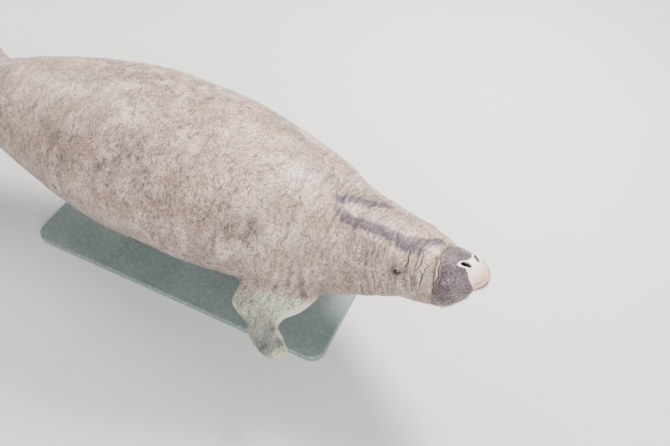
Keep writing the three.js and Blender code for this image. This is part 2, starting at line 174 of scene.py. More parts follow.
@dataclass
class Spine:
    """The line the body is strung on, and the body's own directions along it."""

    length: float = 3000
    anchor: float = 1280
    height: float = 575
    step: float = 2
    coarse: int = 8
    block: int = 4096
    tries: int = 3
    bends: Rows = (
        (0, -21, 15, -18),
        (110, -16, 16, -17),
        (260, -4, 15, -13.5),
        (420, -1.7, 13.6, -12.3),
        (700, -1, -9.3, -9.8),
        (1100, -0.3, -5.6, -7.4),
        (1500, 0, 0, -4.9),
        (2000, -1.5, 3, -2.5),
        (2500, -3, 6, 0),
        (3000, -3, 6, 0),
    )
    points: Array = field(init=False)
    places: Array = field(init=False)

    def __post_init__(self) -> None:
        """Walks back from the nose in short steps and sets the anchor over the origin."""
        forward = self.axes(np.arange(self.step / 2, self.length, self.step))[0]
        walked = np.vstack([np.zeros(3), -np.cumsum(forward, axis=0) * self.step])
        shift = -walked[int(self.anchor / self.step)]
        shift[2] += self.height
        self.points = walked + shift
        self.places = np.arange(len(self.points)) * self.step

    def axes(self, along: Array) -> tuple[Array, Array, Array]:
        """The body's forward, left and up at distances from the nose.

        Args:
            along: distances, in any shape.

        Returns:
            Three arrays of unit vectors.
        """
        along = np.asarray(along, float)
        yaw, pitch, roll = (np.radians(curve(self.bends, k, along)) for k in (1, 2, 3))
        flat = np.zeros_like(yaw)
        forward = np.stack(
            [np.cos(pitch) * np.cos(yaw), np.cos(pitch) * np.sin(yaw), np.sin(pitch)], -1
        )
        level = np.stack([-np.sin(yaw), np.cos(yaw), flat], -1)
        rise = np.cross(forward, level)
        left = level * np.cos(roll)[..., None] + rise * np.sin(roll)[..., None]
        return forward, left, np.cross(forward, left)

    def at(self, along: Array) -> Array:
        """Points of the spine at distances from the nose."""
        return np.stack([np.interp(along, self.places, self.points[:, k]) for k in range(3)], -1)

    def place(self, along: Array, across: Array, over: Array) -> Array:
        """Points given by their distance along the spine, to its left and over it.

        Args:
            along: distances from the nose.
            across: distances to the left.
            over: distances over the spine.

        Returns:
            One point for each.
        """
        _, left, up = self.axes(along)
        across, over = np.asarray(across, float), np.asarray(over, float)
        return self.at(along) + left * across[..., None] + up * over[..., None]

    def locate(self, points: Array) -> tuple[Array, Array, Array]:
        """Undoes place().

        Args:
            points: an array of points.

        Returns:
            Their distances along the spine, to its left and over it.
        """
        nodes = self.points[:: self.coarse]
        closest = np.empty(len(points), int)
        for first in range(0, len(points), self.block):
            block = points[first : first + self.block]
            far = (block**2).sum(1)[:, None] - 2 * block @ nodes.T + (nodes**2).sum(1)
            closest[first : first + self.block] = far.argmin(1)
        along = self.places[:: self.coarse][closest].astype(float)
        for _ in range(self.tries):
            forward = self.axes(along)[0]
            off = points - self.at(along)
            along = np.clip(along - (off * forward).sum(-1), 0, self.length)
        _, left, up = self.axes(along)
        off = points - self.at(along)
        return along, (off * left).sum(-1), (off * up).sum(-1)


class Run(Enum):
    """Which way a crease of the hide runs."""

    ROUND = "round the body"
    ALONG = "along the body"


@dataclass(frozen=True)
class CreaseZone:
    """A stretch of hide strewn with short creases."""

    start: float
    stop: float
    count: int
    depth: float
    width: float
    extent: float
    shade: float
    run: Run = Run.ROUND
    lowest: float = -math.pi / 2
    highest: float = math.pi / 2


@dataclass(frozen=True)
class Mark:
    """A crease, or a stripe of painted shade or highlight, through places on the hide.

    The places are distances along the spine, to its left and over it. Those of a pair are
    given for the right side.
    """

    path: Rows
    width: float
    depth: float = 0.0
    pairs: bool = True
    fine: int = 24
    reach: float = 5
    sway: float = 0.8

    def trace(self, hide: bpy.types.Object, spine: Spine, points: Array) -> tuple[Array, Array]:
        """How points of the hide lie to the mark.

        Args:
            hide: the hide that the mark is on.
            spine: the line its places are measured from.
            points: the hide's points.

        Returns:
            Their distances in the mark's widths, and how far the mark has faded in there.
        """
        far, fade = np.full(len(points), 99.0), np.zeros(len(points))
        for side in (1, -1) if self.pairs else (1,):
            places = np.array(self.path, float) * (1, side, 1)
            line = drawn(spine.place(*places.T), self.fine)
            sway = [lumps(line, 9, 2.5 + k) + 1.6 * lumps(line, 24, 5.5 + k) for k in range(3)]
            line = line + self.sway * self.width * np.stack(sway, -1)
            found = [hide.closest_point_on_mesh(Vector(place * METRES))[1] for place in line]
            line = np.array(found) / METRES
            tree, margin = tree_of(line), self.reach * self.width
            inside = (points > line.min(0) - margin) & (points < line.max(0) + margin)
            for k in np.flatnonzero(inside.all(1)):
                _, number, distance = tree.find(points[k])
                if distance / self.width < far[k]:
                    far[k], share = distance / self.width, number / (len(line) - 1)
                    fade[k] = min(1, 0.15 + 4 * share, 0.15 + 4 * (1 - share))
        return far, fade


@dataclass
class Trunk:
    """The body from nose to tail, without limbs or lower jaw."""

    spine: Spine
    around: int = 176
    nose_round: float = 58
    nose_power: float = 2.6
    nose_rings: int = 26
    crowd: float = 1.3
    undercut: float = 0.5
    undercut_reach: float = 100
    tail_round: float = 2740
    tail_power: float = 2.15
    tail_rings: int = 24
    paddle_edge: float = 0.25
    probe: float = 6
    probe_turn: float = 0.05
    spacing: Rows = (
        (58, 300, 2.7),
        (300, 470, 4),
        (470, 760, 7),
        (760, 2250, 13),
        (2250, 2740, 14),
    )
    rings: Rows = (
        (0, 84, 52, 72, 2.2, 2.6, 0.14),
        (40, 91, 58, 82, 2.2, 2.8, 0.16),
        (90, 96, 72, 88, 2.1, 2.8, 0.16),
        (140, 96, 80, 90, 2.1, 2.5, 0.12),
        (188, 116, 96, 104, 2.1, 2.3, 0.06),
        (250, 140, 112, 127, 2.1, 2.2, 0.04),
        (330, 168, 138, 152, 2.1, 2.1, 0.03),
        (430, 203, 173, 175, 2, 2, 0.02),
        (560, 247, 205, 205, 2, 2, 0.02),
        (700, 303, 239, 241, 2, 2, 0.02),
        (900, 342, 271, 271, 2, 2.1, 0.02),
        (1150, 372, 298, 289, 2, 2.2, 0.02),
        (1400, 372, 299, 292, 2, 2.2, 0.02),
        (1650, 345, 279, 271, 2, 2.1, 0.02),
        (1900, 290, 235, 226, 2, 2, 0),
        (2100, 236, 189, 182, 2, 2, 0),
        (2250, 198, 144, 140, 2, 2, 0),
        (2380, 190, 104, 102, 1.9, 1.9, 0),
        (2500, 226, 76, 72, 1.8, 1.8, 0),
        (2650, 284, 52, 48, 1.7, 1.7, 0),
        (2800, 312, 36, 32, 1.6, 1.6, 0),
        (2900, 314, 26, 22, 1.6, 1.6, 0),
        (3000, 314, 18, 16, 1.6, 1.6, 0),
    )
    folds: Rows = (
        (147, -28, 8, 9, 1, 1, 0.3),
        (210, -10, 5, 8, 0.5, 1, 0.2),
        (238, -6, 4, 8, 0.2, 1, 0.3),
        (385, -20, 4, 16, 0.3, 0.8, 1),
        (455, -14, 5, 20, 0.4, 0.8, 1),
        (545, -10, 4, 22, 0.2, 0.7, 1),
    )
    swells: Rows = (
        (50, 28, 62, 34, 0, 0, 9),
        (84, 96, -66, 48, 0, 7, -24),
        (26, 54, -38, 40, 14, 6, -2),
        (8, 0, -30, 24, -9, 0, 0),
        (16, 0, -66, 22, -12, 0, 8),
        (92, 0, 82, 30, 0, 0, -5),
        (258, 132, 56, 34, 0, 5, 5),
        (262, 138, -40, 60, 0, 12, 0),
    )

    def stations(self) -> Array:
        """Distances of the mesh's rings, closer at the head and where the ends round off.

        Returns:
            The distances from the nose, the two poles left out.
        """
        turn = (math.pi / 2) * np.linspace(0, 1, self.nose_rings + 1)[1:-1] ** self.crowd
        nose = self.nose_round * (1 - np.cos(turn) ** (2 / self.nose_power))
        spans = [
            np.linspace(start, stop, round((stop - start) / step), endpoint=False)
            for start, stop, step in self.spacing
        ]
        turn = (math.pi / 2) * (1 - np.linspace(1, 0, self.tail_rings + 1)[:-1] ** self.crowd)
        far = np.sin(turn) ** (2 / self.tail_power)
        tail = self.tail_round + (self.spine.length - self.tail_round) * far
        return np.concatenate([nose, *spans, tail])

    def opening(self, along: Array) -> tuple[Array, Array]:
        """How far each end has opened out, from 0 at its tip to 1.

        Args:
            along: distances from the nose.

        Returns:
            The share at the nose's end, and at the tail's.
        """
        near = np.clip(1 - along / self.nose_round, 0, 1)
        span = self.spine.length - self.tail_round
        far = np.clip((along - self.tail_round) / span, 0, 1)
        nose = (1 - near**self.nose_power) ** (1 / self.nose_power)
        tail = (1 - far**self.tail_power) ** (1 / self.tail_power)
        return nose, tail

    def fold_depth(self, along: Array, turn: Array) -> Array:
        """The depth of the main folds across the body.

        Args:
            along: distances from the nose.
            turn: angles round the body.

        Returns:
            The depth at each, in millimetres.
        """
        sine, cosine = np.sin(turn), np.cos(turn)
        total = np.zeros(np.broadcast(along, turn).shape)
        for at, lean, depth, width, back, side, belly in self.folds:
            share = back * np.clip(sine, 0, 1) ** 2 + side * cosine**2
            share = share + belly * np.clip(-sine, 0, 1) ** 2
            total += depth * share * bell(along - at - lean * (1 - sine) / 2, width)
        return total

    def section(self, along: Array, turn: Array) -> tuple[Array, Array]:
        """A point of the plain section.

        Args:
            along: distances from the nose.
            turn: angles round the body, 0 on its left and a right angle on its back.

        Returns:
            Distances to the left of the spine and over it.
        """
        width, above, below, high, low, jowl = (curve(self.rings, k, along) for k in range(1, 7))
        sine, cosine = np.sin(turn), np.cos(turn)
        n = np.where(sine >= 0, high, low)
        nose, tail = self.opening(along)
        flat = np.where(tail < 1, self.paddle_edge + (1 - self.paddle_edge) * tail, 1)
        across = power(cosine, n) * width * (1 + jowl * np.clip(-sine, 0, 1)) * nose * tail
        over = power(sine, n) * np.where(sine >= 0, above, below) * nose * flat
        radius = np.maximum(np.hypot(across, over), 1)
        scale = (radius - self.fold_depth(along, turn)) / radius
        return across * scale, over * scale

    def swell(self, points: Array) -> Array:
        """Pushes points by every swelling near them.

        Args:
            points: an array of points.

        Returns:
            The moved points.
        """
        moved = points.copy()
        for along, across, over, reach, forwards, outwards, upwards in self.swells:
            forward, left, up = self.spine.axes(along)
            for side in (1, -1) if across else (1,):
                centre = self.spine.place(along, side * across, over)
                push = forward * forwards + left * side * outwards + up * upwards
                far = np.linalg.norm(points - centre, axis=-1)
                moved += bell(far, reach)[..., None] * push
        return moved

    def skin(self, along: Array, turn: Array) -> Array:
        """Points of the skin at distances from the nose and angles round the body.

        Args:
            along: distances from the nose.
            turn: angles round the body.

        Returns:
            One point for each.
        """
        across, over = self.section(along, turn)
        back = self.undercut * np.clip(-over, 0, None) * bell(along, self.undercut_reach)
        return self.swell(self.spine.place(along + back, across, over))

    def surface(self, along: float, turn: float) -> tuple[Array, Array]:
        """A point of the skin and the way out of it.

        Args:
            along: its distance from the nose.
            turn: its angle round the body.

        Returns:
            The point, and a unit vector.
        """
        ends = self.skin(along + np.array([0, self.probe, -self.probe]), np.full(3, turn))
        sides = self.skin(
            np.full(2, float(along)), turn + np.array([self.probe_turn, -self.probe_turn])
        )
        return ends[0], unit(np.cross(ends[1] - ends[2], sides[0] - sides[1]))

    def shell(self) -> tuple[Array, list]:
        """The whole body as a closed shell.

        Returns:
            Its points and faces.
        """
        turn = np.arange(self.around) * TAU / self.around
        along = self.stations()
        rings = self.skin(along[:, None] * np.ones_like(turn), turn * np.ones((len(along), 1)))
        ends = self.skin(np.array([0.0, self.spine.length]), np.zeros(2))
        return closed(rings, ends[0], ends[1])


def closed(rings: Array, first: Array, last: Array) -> tuple[Array, list]:
    """A closed shell through rings of points, with a pole at each end.

    Args:
        rings: points, ring by ring.
        first: the pole before the first ring.
        last: the pole past the last one.

    Returns:
        The points and the faces, each a list of point numbers.
    """
    count, corners = rings.shape[:2]
    points = np.vstack([first, rings.reshape(-1, 3), last])
    here = np.arange(corners)
    there = (here + 1) % corners
    end = (count - 1) * corners + 1
    faces = [(0, a + 1, b + 1) for a, b in zip(here, there)]
    for ring in range(count - 1):
        start = 1 + ring * corners
        faces += [
            (start + a, start + corners + a, start + corners + b, start + b)
            for a, b in zip(here, there)
        ]
    faces += [(end + a, len(points) - 1, end + b) for a, b in zip(here, there)]
    return points, faces


@dataclass
class Jaw:
    """The lower jaw, which shows between the hanging lips."""

    spine: Spine
    front: float = 78
    back: float = 350
    point: float = 12
    opens: float = 34
    power: float = 2.3
    rings: int = 64
    crowd: float = 1.5
    around: int = 84
    rows: Rows = (
        (78, 46, 92, 28, 32),
        (108, 66, 94, 38, 44),
        (150, 80, 94, 44, 52),
        (210, 96, 92, 48, 60),
        (275, 108, 84, 50, 66),
        (350, 96, 70, 44, 56),
    )

    def shell(self) -> tuple[Array, list]:
        """The jaw as a closed shell.

        Returns:
            Its points and faces.
        """
        share = np.arange(1, self.rings + 1)[:, None] / self.rings
        along = self.front + (self.back - self.front) * share**self.crowd
        turn = np.arange(self.around) * TAU / self.around + np.zeros_like(along)
        along = along + np.zeros_like(turn)
        width, under, above, below = (curve(self.rows, k, along) for k in range(1, 5))
        near = np.clip(1 - (along - self.front) / self.opens, 0, 1)
        opened = np.sqrt(1 - near**2)
        across = power(np.cos(turn), self.power) * width * opened
        high = np.where(np.sin(turn) >= 0, above, below)
        over = power(np.sin(turn), self.power) * high * opened - under
        rings = self.spine.place(along, across, over)
        front, back = (-curve(self.rows, 2, np.array(at)) for at in (self.front, self.back))
        first = self.spine.place(self.front, 0, front)
        last = self.spine.place(self.back + self.point, 0, back)
        return closed(rings, first, last)


class Side(Enum):
    """A side of the animal, with the sign of its direction."""

    LEFT = 1
    RIGHT = -1

    @property
    def word(self) -> str:
        """The side's name in lower case."""
        return self.name.lower()


@dataclass
class Flipper:
    """One flipper, on a curve from inside the chest to its tip."""

    spine: Spine
    side: Side
    root: Triple = (636, 176, -96)
    tilt: float = 16
    section_power: float = 1.8
    rounds: float = 0.86
    tip_power: float = 2.2
    tip_edge: float = 0.4
    coarse: int = 20
    rings: int = 74
    even_rings: float = 0.72
    tip_rings: float = 0.28
    around: int = 72
    path: Rows = (
        (0, 0, 0),
        (84, -38, 18),
        (152, -78, 36),
        (211, -116, 19),
        (228, -146, -26),
        (245, -166, -82),
    )
    rows: Rows = (
        (0, 118, 64, 6),
        (0.25, 118, 50, 28),
        (0.42, 108, 37, 44),
        (0.53, 98, 29, 48),
        (0.64, 56, 24, 14),
        (0.78, 52, 19, 10),
        (0.9, 45, 15, 10),
        (1, 46, 11, 0),
    )
    forward: Array = field(init=False)
    outwards: Array = field(init=False)
    line: Array = field(init=False)
    length: float = field(init=False)
    shares: Array = field(init=False)

    def __post_init__(self) -> None:
        """Draws the curve finely and measures it."""
        along, across, over = self.root
        forward, left, up = self.spine.axes(along)
        self.forward = forward
        self.outwards = left * self.side.value
        start = self.spine.place(along, self.side.value * across, over)
        steps = np.array(self.path)
        marks = start + steps @ np.stack([self.outwards, up, -forward])
        self.line = drawn(marks)
        run = np.linalg.norm(np.diff(self.line, axis=0), axis=1)
        self.length = run.sum()
        self.shares = np.concatenate([[0], np.cumsum(run)]) / self.length

    def middle(self, share: Array) -> Array:
        """Points of the curve at shares of its length."""
        return np.stack([np.interp(share, self.shares, self.line[:, k]) for k in range(3)], -1)

    def axes(self, share: Array) -> tuple[Array, Array, Array]:
        """Directions on the curve at shares of its length.

        Args:
            share: shares, from 0 at the root to 1 at the tip.

        Returns:
            Towards the tip, towards the leading edge, and out of the upper face.
        """
        share = np.asarray(share, float)
        step = 1e-3
        ahead = self.middle(np.minimum(share + step, 1)) - self.middle(np.maximum(share - step, 0))
        tip = unit(ahead)
        chord = turned(self.forward, self.outwards, self.side.value * math.radians(self.tilt))
        chord = unit(chord - tip * (tip @ chord)[..., None])
        return tip, chord, np.cross(chord, tip) * self.side.value

    def row(self, share: Array) -> tuple[Array, Array, Array]:
        """The half chord, the half thickness and the chord's setback at shares of the length.

        Args:
            share: shares, from 0 at the root to 1 at the tip.

        Returns:
            The three measures at each share.
        """
        chord, thick, back = (curve(self.rows, k, np.asarray(share, float)) for k in (1, 2, 3))
        far = np.clip((share - self.rounds) / (1 - self.rounds), 0, 1)
        opened = np.sqrt(1 - far**self.tip_power)
        return chord * opened, thick * (self.tip_edge + (1 - self.tip_edge) * opened), back

    def shell(self) -> tuple[Array, list]:
        """The flipper as a closed shell.

        Returns:
            Its points and faces.
        """
        t = np.linspace(0, 1, self.rings, endpoint=False)
        even = t / self.even_rings * self.rounds
        angle = (t - self.even_rings) / self.tip_rings * math.pi / 2
        rounded = self.rounds + (1 - self.rounds) * np.sin(angle)
        share = np.where(t < self.even_rings, even, rounded)[:, None]
        turn = self.side.value * np.arange(self.around) * TAU / self.around
        _, chord, normal = self.axes(share)
        half, thick, back = self.row(share)
        reach = power(np.cos(turn), self.section_power) * half - back
        height = power(np.sin(turn), self.section_power) * thick
        rings = self.middle(share) + chord * reach[..., None] + normal * height[..., None]
        return closed(rings, self.middle(np.array(0.0)), self.middle(np.array(1.0)))

    def locate(self, points: Array) -> tuple[Array, Array, Array]:
        """Where points lie on the flipper.

        Args:
            points: an array of points.

        Returns:
            Their shares of its length, and their distances towards the leading edge and
            out of the upper face.
        """
        nodes, shares = self.line[:: self.coarse], self.shares[:: self.coarse]
        far = np.linalg.norm(points[:, None] - nodes, axis=-1)
        share = shares[far.argmin(1)]
        _, chord, normal = self.axes(share)
        off = points - self.middle(share)
        return share, (off * chord).sum(-1), (off * normal).sum(-1)


@dataclass
class Nostril:
    """One nostril: a deep oval hole in a pale raised rim."""

    trunk: Trunk
    side: Side
    along: float = 47
    across: float = 27
    long: float = 18
    wide: float = 10
    turn: float = 27
    depth: float = 26
    rise: float = 3.4
    mound: float = 3.0
    bow: float = 0.18
    valve: float = 0.5
    valve_height: float = 0.55
    rim_at: float = 1.32
    rim_width: float = 0.34
    mound_width: float = 2.3
    outside: float = 9
    centre: Array = field(init=False)
    out: Array = field(init=False)
    axis: Array = field(init=False)
    across_axis: Array = field(init=False)

    def __post_init__(self) -> None:
        """Finds its place on the skin and its own directions."""
        half = float(curve(self.trunk.rings, 1, np.array(self.along)))
        angle = math.pi / 2 - self.side.value * math.asin(self.across / half)
        self.centre, self.out = self.trunk.surface(self.along, angle)
        forward, left, _ = self.trunk.spine.axes(self.along)
        turn = math.radians(self.turn)
        axis = forward * math.cos(turn) - left * self.side.value * math.sin(turn)
        self.axis = unit(axis - self.out * (axis @ self.out))
        self.across_axis = np.cross(self.out, self.axis)

    def ellipse(self, points: Array) -> tuple[Array, Array]:
        """Where points lie on the opening's oval.

        Args:
            points: an array of points.

        Returns:
            Their size of oval, 1 on the opening's edge, and their place on its long axis.
        """
        off = points - self.centre
        u = off @ self.axis / self.long
        v = off @ self.across_axis / self.wide
        v = v + self.side.value * self.bow * (1 - u**2)
        deep = np.abs(off @ self.out) > 2.2 * self.long
        return np.where(deep, self.outside, np.hypot(u, v)), u

    def lift(self, points: Array) -> Array:
        """How far the hide rises here, with the hole as a deep hollow.

        Args:
            points: points of the hide.

        Returns:
            The rise at each, negative in the hole.
        """
        size, u = self.ellipse(points)
        rim = self.rise * bell(size - self.rim_at, self.rim_width)
        rim = rim + self.mound * bell(size, self.mound_width)
        valve = self.valve_height * bell(u - self.valve, 0.3)
        return rim - self.depth * (1 - valve) * ramp(1.12 - size, 0, 0.36)

    def shade(self, points: Array) -> tuple[Array, Array]:
        """How much of each point is pale rim, and how much is hole, which is painted dark as shade.

        Args:
            points: points of the hide.

        Returns:
            The share of rim, and of hole.
        """
        size, u = self.ellipse(points)
        hole = ramp(1.08 - size, 0, 0.16) * (1 - 0.4 * bell(u - self.valve, 0.26))
        return bell(size - 1.36, 0.3) * ramp(size, 1, 1.2), hole


@dataclass
class Eye:
    """One eye: a small ball behind an almond opening in creased lids."""

    trunk: Trunk
    side: Side
    along: float = 262
    around: float = 17
    radius: float = 11
    sunk: float = 6.5
    long: float = 11.5
    wide: float = 7.2
    rise: float = 3.4
    mound: float = 3.2
    pocket: float = 22
    lid_at: float = 1.18
    lid_width: float = 0.3
    mound_width: float = 2.6
    rings: Rows = ((1.72, 1.3), (2.25, 1.1), (2.9, 0.9), (3.6, 0.6))
    ring_width: float = 0.16
    ball_rings: int = 31
    ball_around: int = 48
    outside: float = 9
    centre: Array = field(init=False)
    out: Array = field(init=False)
    axis: Array = field(init=False)
    across_axis: Array = field(init=False)

    def __post_init__(self) -> None:
        """Finds its place on the skin and its own directions."""
        angle = math.radians(self.around)
        turn = angle if self.side is Side.LEFT else math.pi - angle
        self.centre, self.out = self.trunk.surface(self.along, turn)
        forward = self.trunk.spine.axes(self.along)[0]
        self.axis = unit(forward - self.out * (forward @ self.out))
        self.across_axis = np.cross(self.out, self.axis)

    def ellipse(self, points: Array) -> Array:
        """The size of oval that points lie on, 1 on the opening's edge.

        Args:
            points: points of the hide.

        Returns:
            The size of oval for each.
        """
        off = points - self.centre
        u = off @ self.axis / self.long
        v = off @ self.across_axis / (self.wide * (1 - 0.18 * np.clip(u, -1, 1)))
        deep = np.abs(off @ self.out) > 3 * self.long
        return np.where(deep, self.outside, np.hypot(u, v))

    def lift(self, points: Array) -> Array:
        """How far the hide rises here, with a pocket for the ball.

        Args:
            points: points of the hide.

        Returns:
            The rise at each, negative in the pocket.
        """
        size = self.ellipse(points)
        lids = self.rise * bell(size - self.lid_at, self.lid_width)
        lids = lids + self.mound * bell(size, self.mound_width)
        for at, depth in self.rings:
            lids = lids - depth * bell(size - at, self.ring_width)
        return lids - self.pocket * ramp(1 - size, 0, 0.26)

    def ball(self) -> bpy.types.Object:
        """The eyeball, with the distance from its middle painted on it in millimetres.

        Returns:
            The eyeball's object.
        """
        middle = self.centre - self.out * self.sunk
        polar = np.linspace(0, math.pi, self.ball_rings + 2)[1:-1][:, None]
        turn = np.arange(self.ball_around) * TAU / self.ball_around
        radial = self.axis * np.cos(turn)[:, None] + self.across_axis * np.sin(turn)[:, None]
        rings = middle + self.radius * (
            self.out * np.cos(polar)[..., None] + radial * np.sin(polar)[..., None]
        )
        poles = middle + self.out * self.radius, middle - self.out * self.radius
        points, faces = closed(rings, *poles)
        made = piece(f"{self.side.word}_eyeball", points, faces)
        from_axis = np.linalg.norm(np.cross(points - middle, self.out), axis=1)
        behind = (points - middle) @ self.out < 0
        paint(made.data, "iris", np.where(behind, self.radius, from_axis))
        return made


def linked(name: str, data: bpy.types.ID) -> bpy.types.Object:
    """A new object in the scene, with this mesh, lamp or camera.

    Args:
        name: its name.
        data: what it holds.

    Returns:
        The object.
    """
    made = bpy.data.objects.new(name, data)
    bpy.context.scene.collection.objects.link(made)
    return made


def piece(name: str, points: Array, faces: list) -> bpy.types.Object:
    """A smooth mesh object from points in millimetres.

    Args:
        name: the object's name.
        points: its points.
        faces: its faces, as lists of point numbers.

    Returns:
        The object, linked to the scene.
    """
    mesh = bpy.data.meshes.new(name)
    mesh.from_pydata((points * METRES).tolist(), [], [tuple(map(int, f)) for f in faces])
    mesh.validate()
    mesh.shade_smooth()
    return linked(name, mesh)


def paint(mesh: bpy.types.Mesh, name: str, values: Array) -> None:
    """Stores one number for each point of a mesh, for its material to read."""
    layer = mesh.attributes.new(name, "FLOAT", "POINT")
    layer.data.foreach_set("value", values.astype(np.float32))


def points_of(mesh: bpy.types.Mesh) -> Array:
    """A mesh's points, in millimetres.

    Args:
        mesh: the mesh.

    Returns:
        One row for each point.
    """
    flat = np.empty(len(mesh.vertices) * 3)
    mesh.vertices.foreach_get("co", flat)
    return flat.reshape(-1, 3) / METRES


def normals_of(mesh: bpy.types.Mesh) -> Array:
    """The way out of a mesh at each of its points.

    Args:
        mesh: the mesh.

    Returns:
        One unit vector for each point.
    """
    flat = np.empty(len(mesh.vertices) * 3)
    mesh.vertices.foreach_get("normal", flat)
    return flat.reshape(-1, 3)


def edges_of(mesh: bpy.types.Mesh) -> Array:
    """A mesh's edges, as pairs of point numbers.

    Args:
        mesh: the mesh.

    Returns:
        One row for each edge.
    """
    flat = np.empty(len(mesh.edges) * 2, np.int32)
    mesh.edges.foreach_get("vertices", flat)
    return flat.reshape(-1, 2)


def move(mesh: bpy.types.Mesh, points: Array) -> None:
    """Moves a mesh's points to places in millimetres."""
    mesh.vertices.foreach_set("co", (points * METRES).ravel())
    mesh.update()


def tree_of(points: Array) -> KDTree:
    """A search tree of points.

    Args:
        points: the points.

    Returns:
        The tree, which gives back their numbers.
    """
    tree = KDTree(len(points))
    for number, point in enumerate(points):
        tree.insert(point, number)
    tree.balance()
    return tree


def nearest(points: Array, tree: KDTree) -> Array:
    """Each point's distance to the nearest one in a tree."""
    return np.array([tree.find(point)[2] for point in points])


def relaxed(points: Array, edges: Array, share: Array, rounds: int) -> Array:
    """Draws points towards the middle of their neighbours.

    Args:
        points: the points.
        edges: pairs of neighbours.
        share: how far each point moves in a round, 0 to 1.
        rounds: how many rounds.

    Returns:
        The moved points.
    """
    ends = np.concatenate([edges[:, 0], edges[:, 1]])
    others = np.concatenate([edges[:, 1], edges[:, 0]])
    count = np.maximum(np.bincount(ends, minlength=len(points)), 1)
    moved = points.copy()
    for _ in range(rounds):
        sums = [np.bincount(ends, moved[others, k], len(points)) for k in range(3)]
        moved += share[:, None] * (np.stack(sums, -1) / count[:, None] - moved)
    return moved


def evaluated(made: bpy.types.Object) -> bpy.types.Mesh:
    """The mesh that an object's modifiers give.

    Args:
        made: the object.

    Returns:
        A mesh of its own.
    """
    bpy.context.view_layer.update()
    graph = bpy.context.evaluated_depsgraph_get()
    return bpy.data.meshes.new_from_object(made.evaluated_get(graph))


def dropped(made: bpy.types.Object) -> None:
    """Takes an object that was only a tool out of the scene.

    Args:
        made: the object.
    """
    mesh = made.data
    bpy.data.objects.remove(made)
    bpy.data.meshes.remove(mesh)


class Wiring:
    """Adds nodes to a tree, sets their inputs and joins them."""

    def __init__(self, tree: bpy.types.NodeTree) -> None:
        """Keeps the tree that the nodes go in."""
        self.tree = tree

    def node(self, kind: str, inputs: dict | None = None, **settings: object) -> bpy.types.Node:
        """A new node.

        Args:
            kind: its type.
            inputs: values for its inputs, or the outputs that feed them.
            settings: its own settings.

        Returns:
            The node.
        """
        made = self.tree.nodes.new(kind)
        for name, value in settings.items():
            setattr(made, name, value)
        self.feed(made, inputs or {})
        return made

    def feed(self, made: bpy.types.Node, inputs: dict) -> None:
        """Sets a node's inputs.

        Args:
            made: the node.
            inputs: values for its inputs, or the outputs that feed them.
        """
        for name, value in inputs.items():
            if isinstance(value, bpy.types.NodeSocket):
                self.tree.links.new(value, made.inputs[name])
            else:
                made.inputs[name].default_value = value

    def number(
        self, operation: str, first: object, second: object = 0.0, clamp: bool = False
    ) -> object:
        """The result of a sum on two numbers, kept between 0 and 1 if it is clamped."""
        inputs = {0: first, 1: second}
        return self.node("ShaderNodeMath", inputs, operation=operation, use_clamp=clamp).outputs[0]

    def vector(self, operation: str, first: object, second: object) -> object:
        """The result of a sum on two vectors."""
        made = self.node("ShaderNodeVectorMath", {0: first, 1: second}, operation=operation)
        return made.outputs[0]

    def spread(
        self, value: object, low: float, high: float, to: tuple[float, float] = (0.0, 1.0)
    ) -> object:
        """A number's range, spread smoothly over another.

        Args:
            value: the number.
            low: where its range starts.
            high: where its range ends.
            to: the range that it's spread over.

        Returns:
            The output that gives the result.
        """
        ranges = {"From Min": low, "From Max": high, "To Min": to[0], "To Max": to[1]}
        inputs = {"Value": value, **ranges}
        made = self.node("ShaderNodeMapRange", inputs, interpolation_type="SMOOTHSTEP")
        return made.outputs["Result"]

    def mixed(self, share: object, first: object, second: object, blend: str = "MIX") -> object:
        """A blend of two colours.

        Args:
            share: how much of the second colour there is.
            first: the first colour.
            second: the second colour.
            blend: how they are blended.

        Returns:
            The output that gives the colour.
        """
        colours = {0: share, 6: self.colour(first), 7: self.colour(second)}
        made = self.node("ShaderNodeMix", colours, data_type="RGBA", blend_type=blend)
        return made.outputs[2]

    @staticmethod
    def colour(value: object) -> object:
        """A colour with its fourth number, or an output as it is."""
        return (*value, 1.0) if isinstance(value, tuple) else value

    def painted(self, name: str) -> object:
        """The number painted on a mesh under this name."""
        return self.node("ShaderNodeAttribute", attribute_name=name).outputs["Fac"]

    def stored(self, name: str, kind: str) -> object:
        """A geometry's own attribute, by its name and type."""
        made = self.node("GeometryNodeInputNamedAttribute", {"Name": name}, data_type=kind)
        return made.outputs["Attribute"]

    def grain(self, where: object, scale: float, detail: float = 3, rough: float = 0.55) -> object:
        """Noise at a scale."""
        inputs = {"Vector": where, "Scale": scale, "Detail": detail, "Roughness": rough}
        return self.node("ShaderNodeTexNoise", inputs).outputs["Fac"]

    def stretched(self, where: object, scale: Triple) -> object:
        """Coordinates scaled by different amounts along X, Y and Z."""
        return self.node("ShaderNodeMapping", {"Vector": where, "Scale": scale}).outputs[0]

    def bump(
        self, height: object, distance: float, strength: object, under: object = None
    ) -> object:
        """A normal raised by a height, in millimetres, over another normal.

        Args:
            height: the height, 0 to 1.
            distance: how high 1 is.
            strength: how much of the relief is kept.
            under: the normal below it, if there is one.

        Returns:
            The output that gives the normal.
        """
        inputs = {"Height": height, "Distance": distance * METRES, "Strength": strength}
        if under is not None:
            inputs["Normal"] = under
        return self.node("ShaderNodeBump", inputs).outputs[0]


def blank(name: str) -> tuple[bpy.types.Material, Wiring, bpy.types.Node, object]:
    """A new material.

    Args:
        name: its name.

    Returns:
        The material, its wiring, its shader and the object coordinates.
    """
    material = bpy.data.materials.new(name)
    material.use_nodes = True
    wiring = Wiring(material.node_tree)
    shader = material.node_tree.nodes["Principled BSDF"]
    where = wiring.node("ShaderNodeTexCoord").outputs["Object"]
    return material, wiring, shader, where


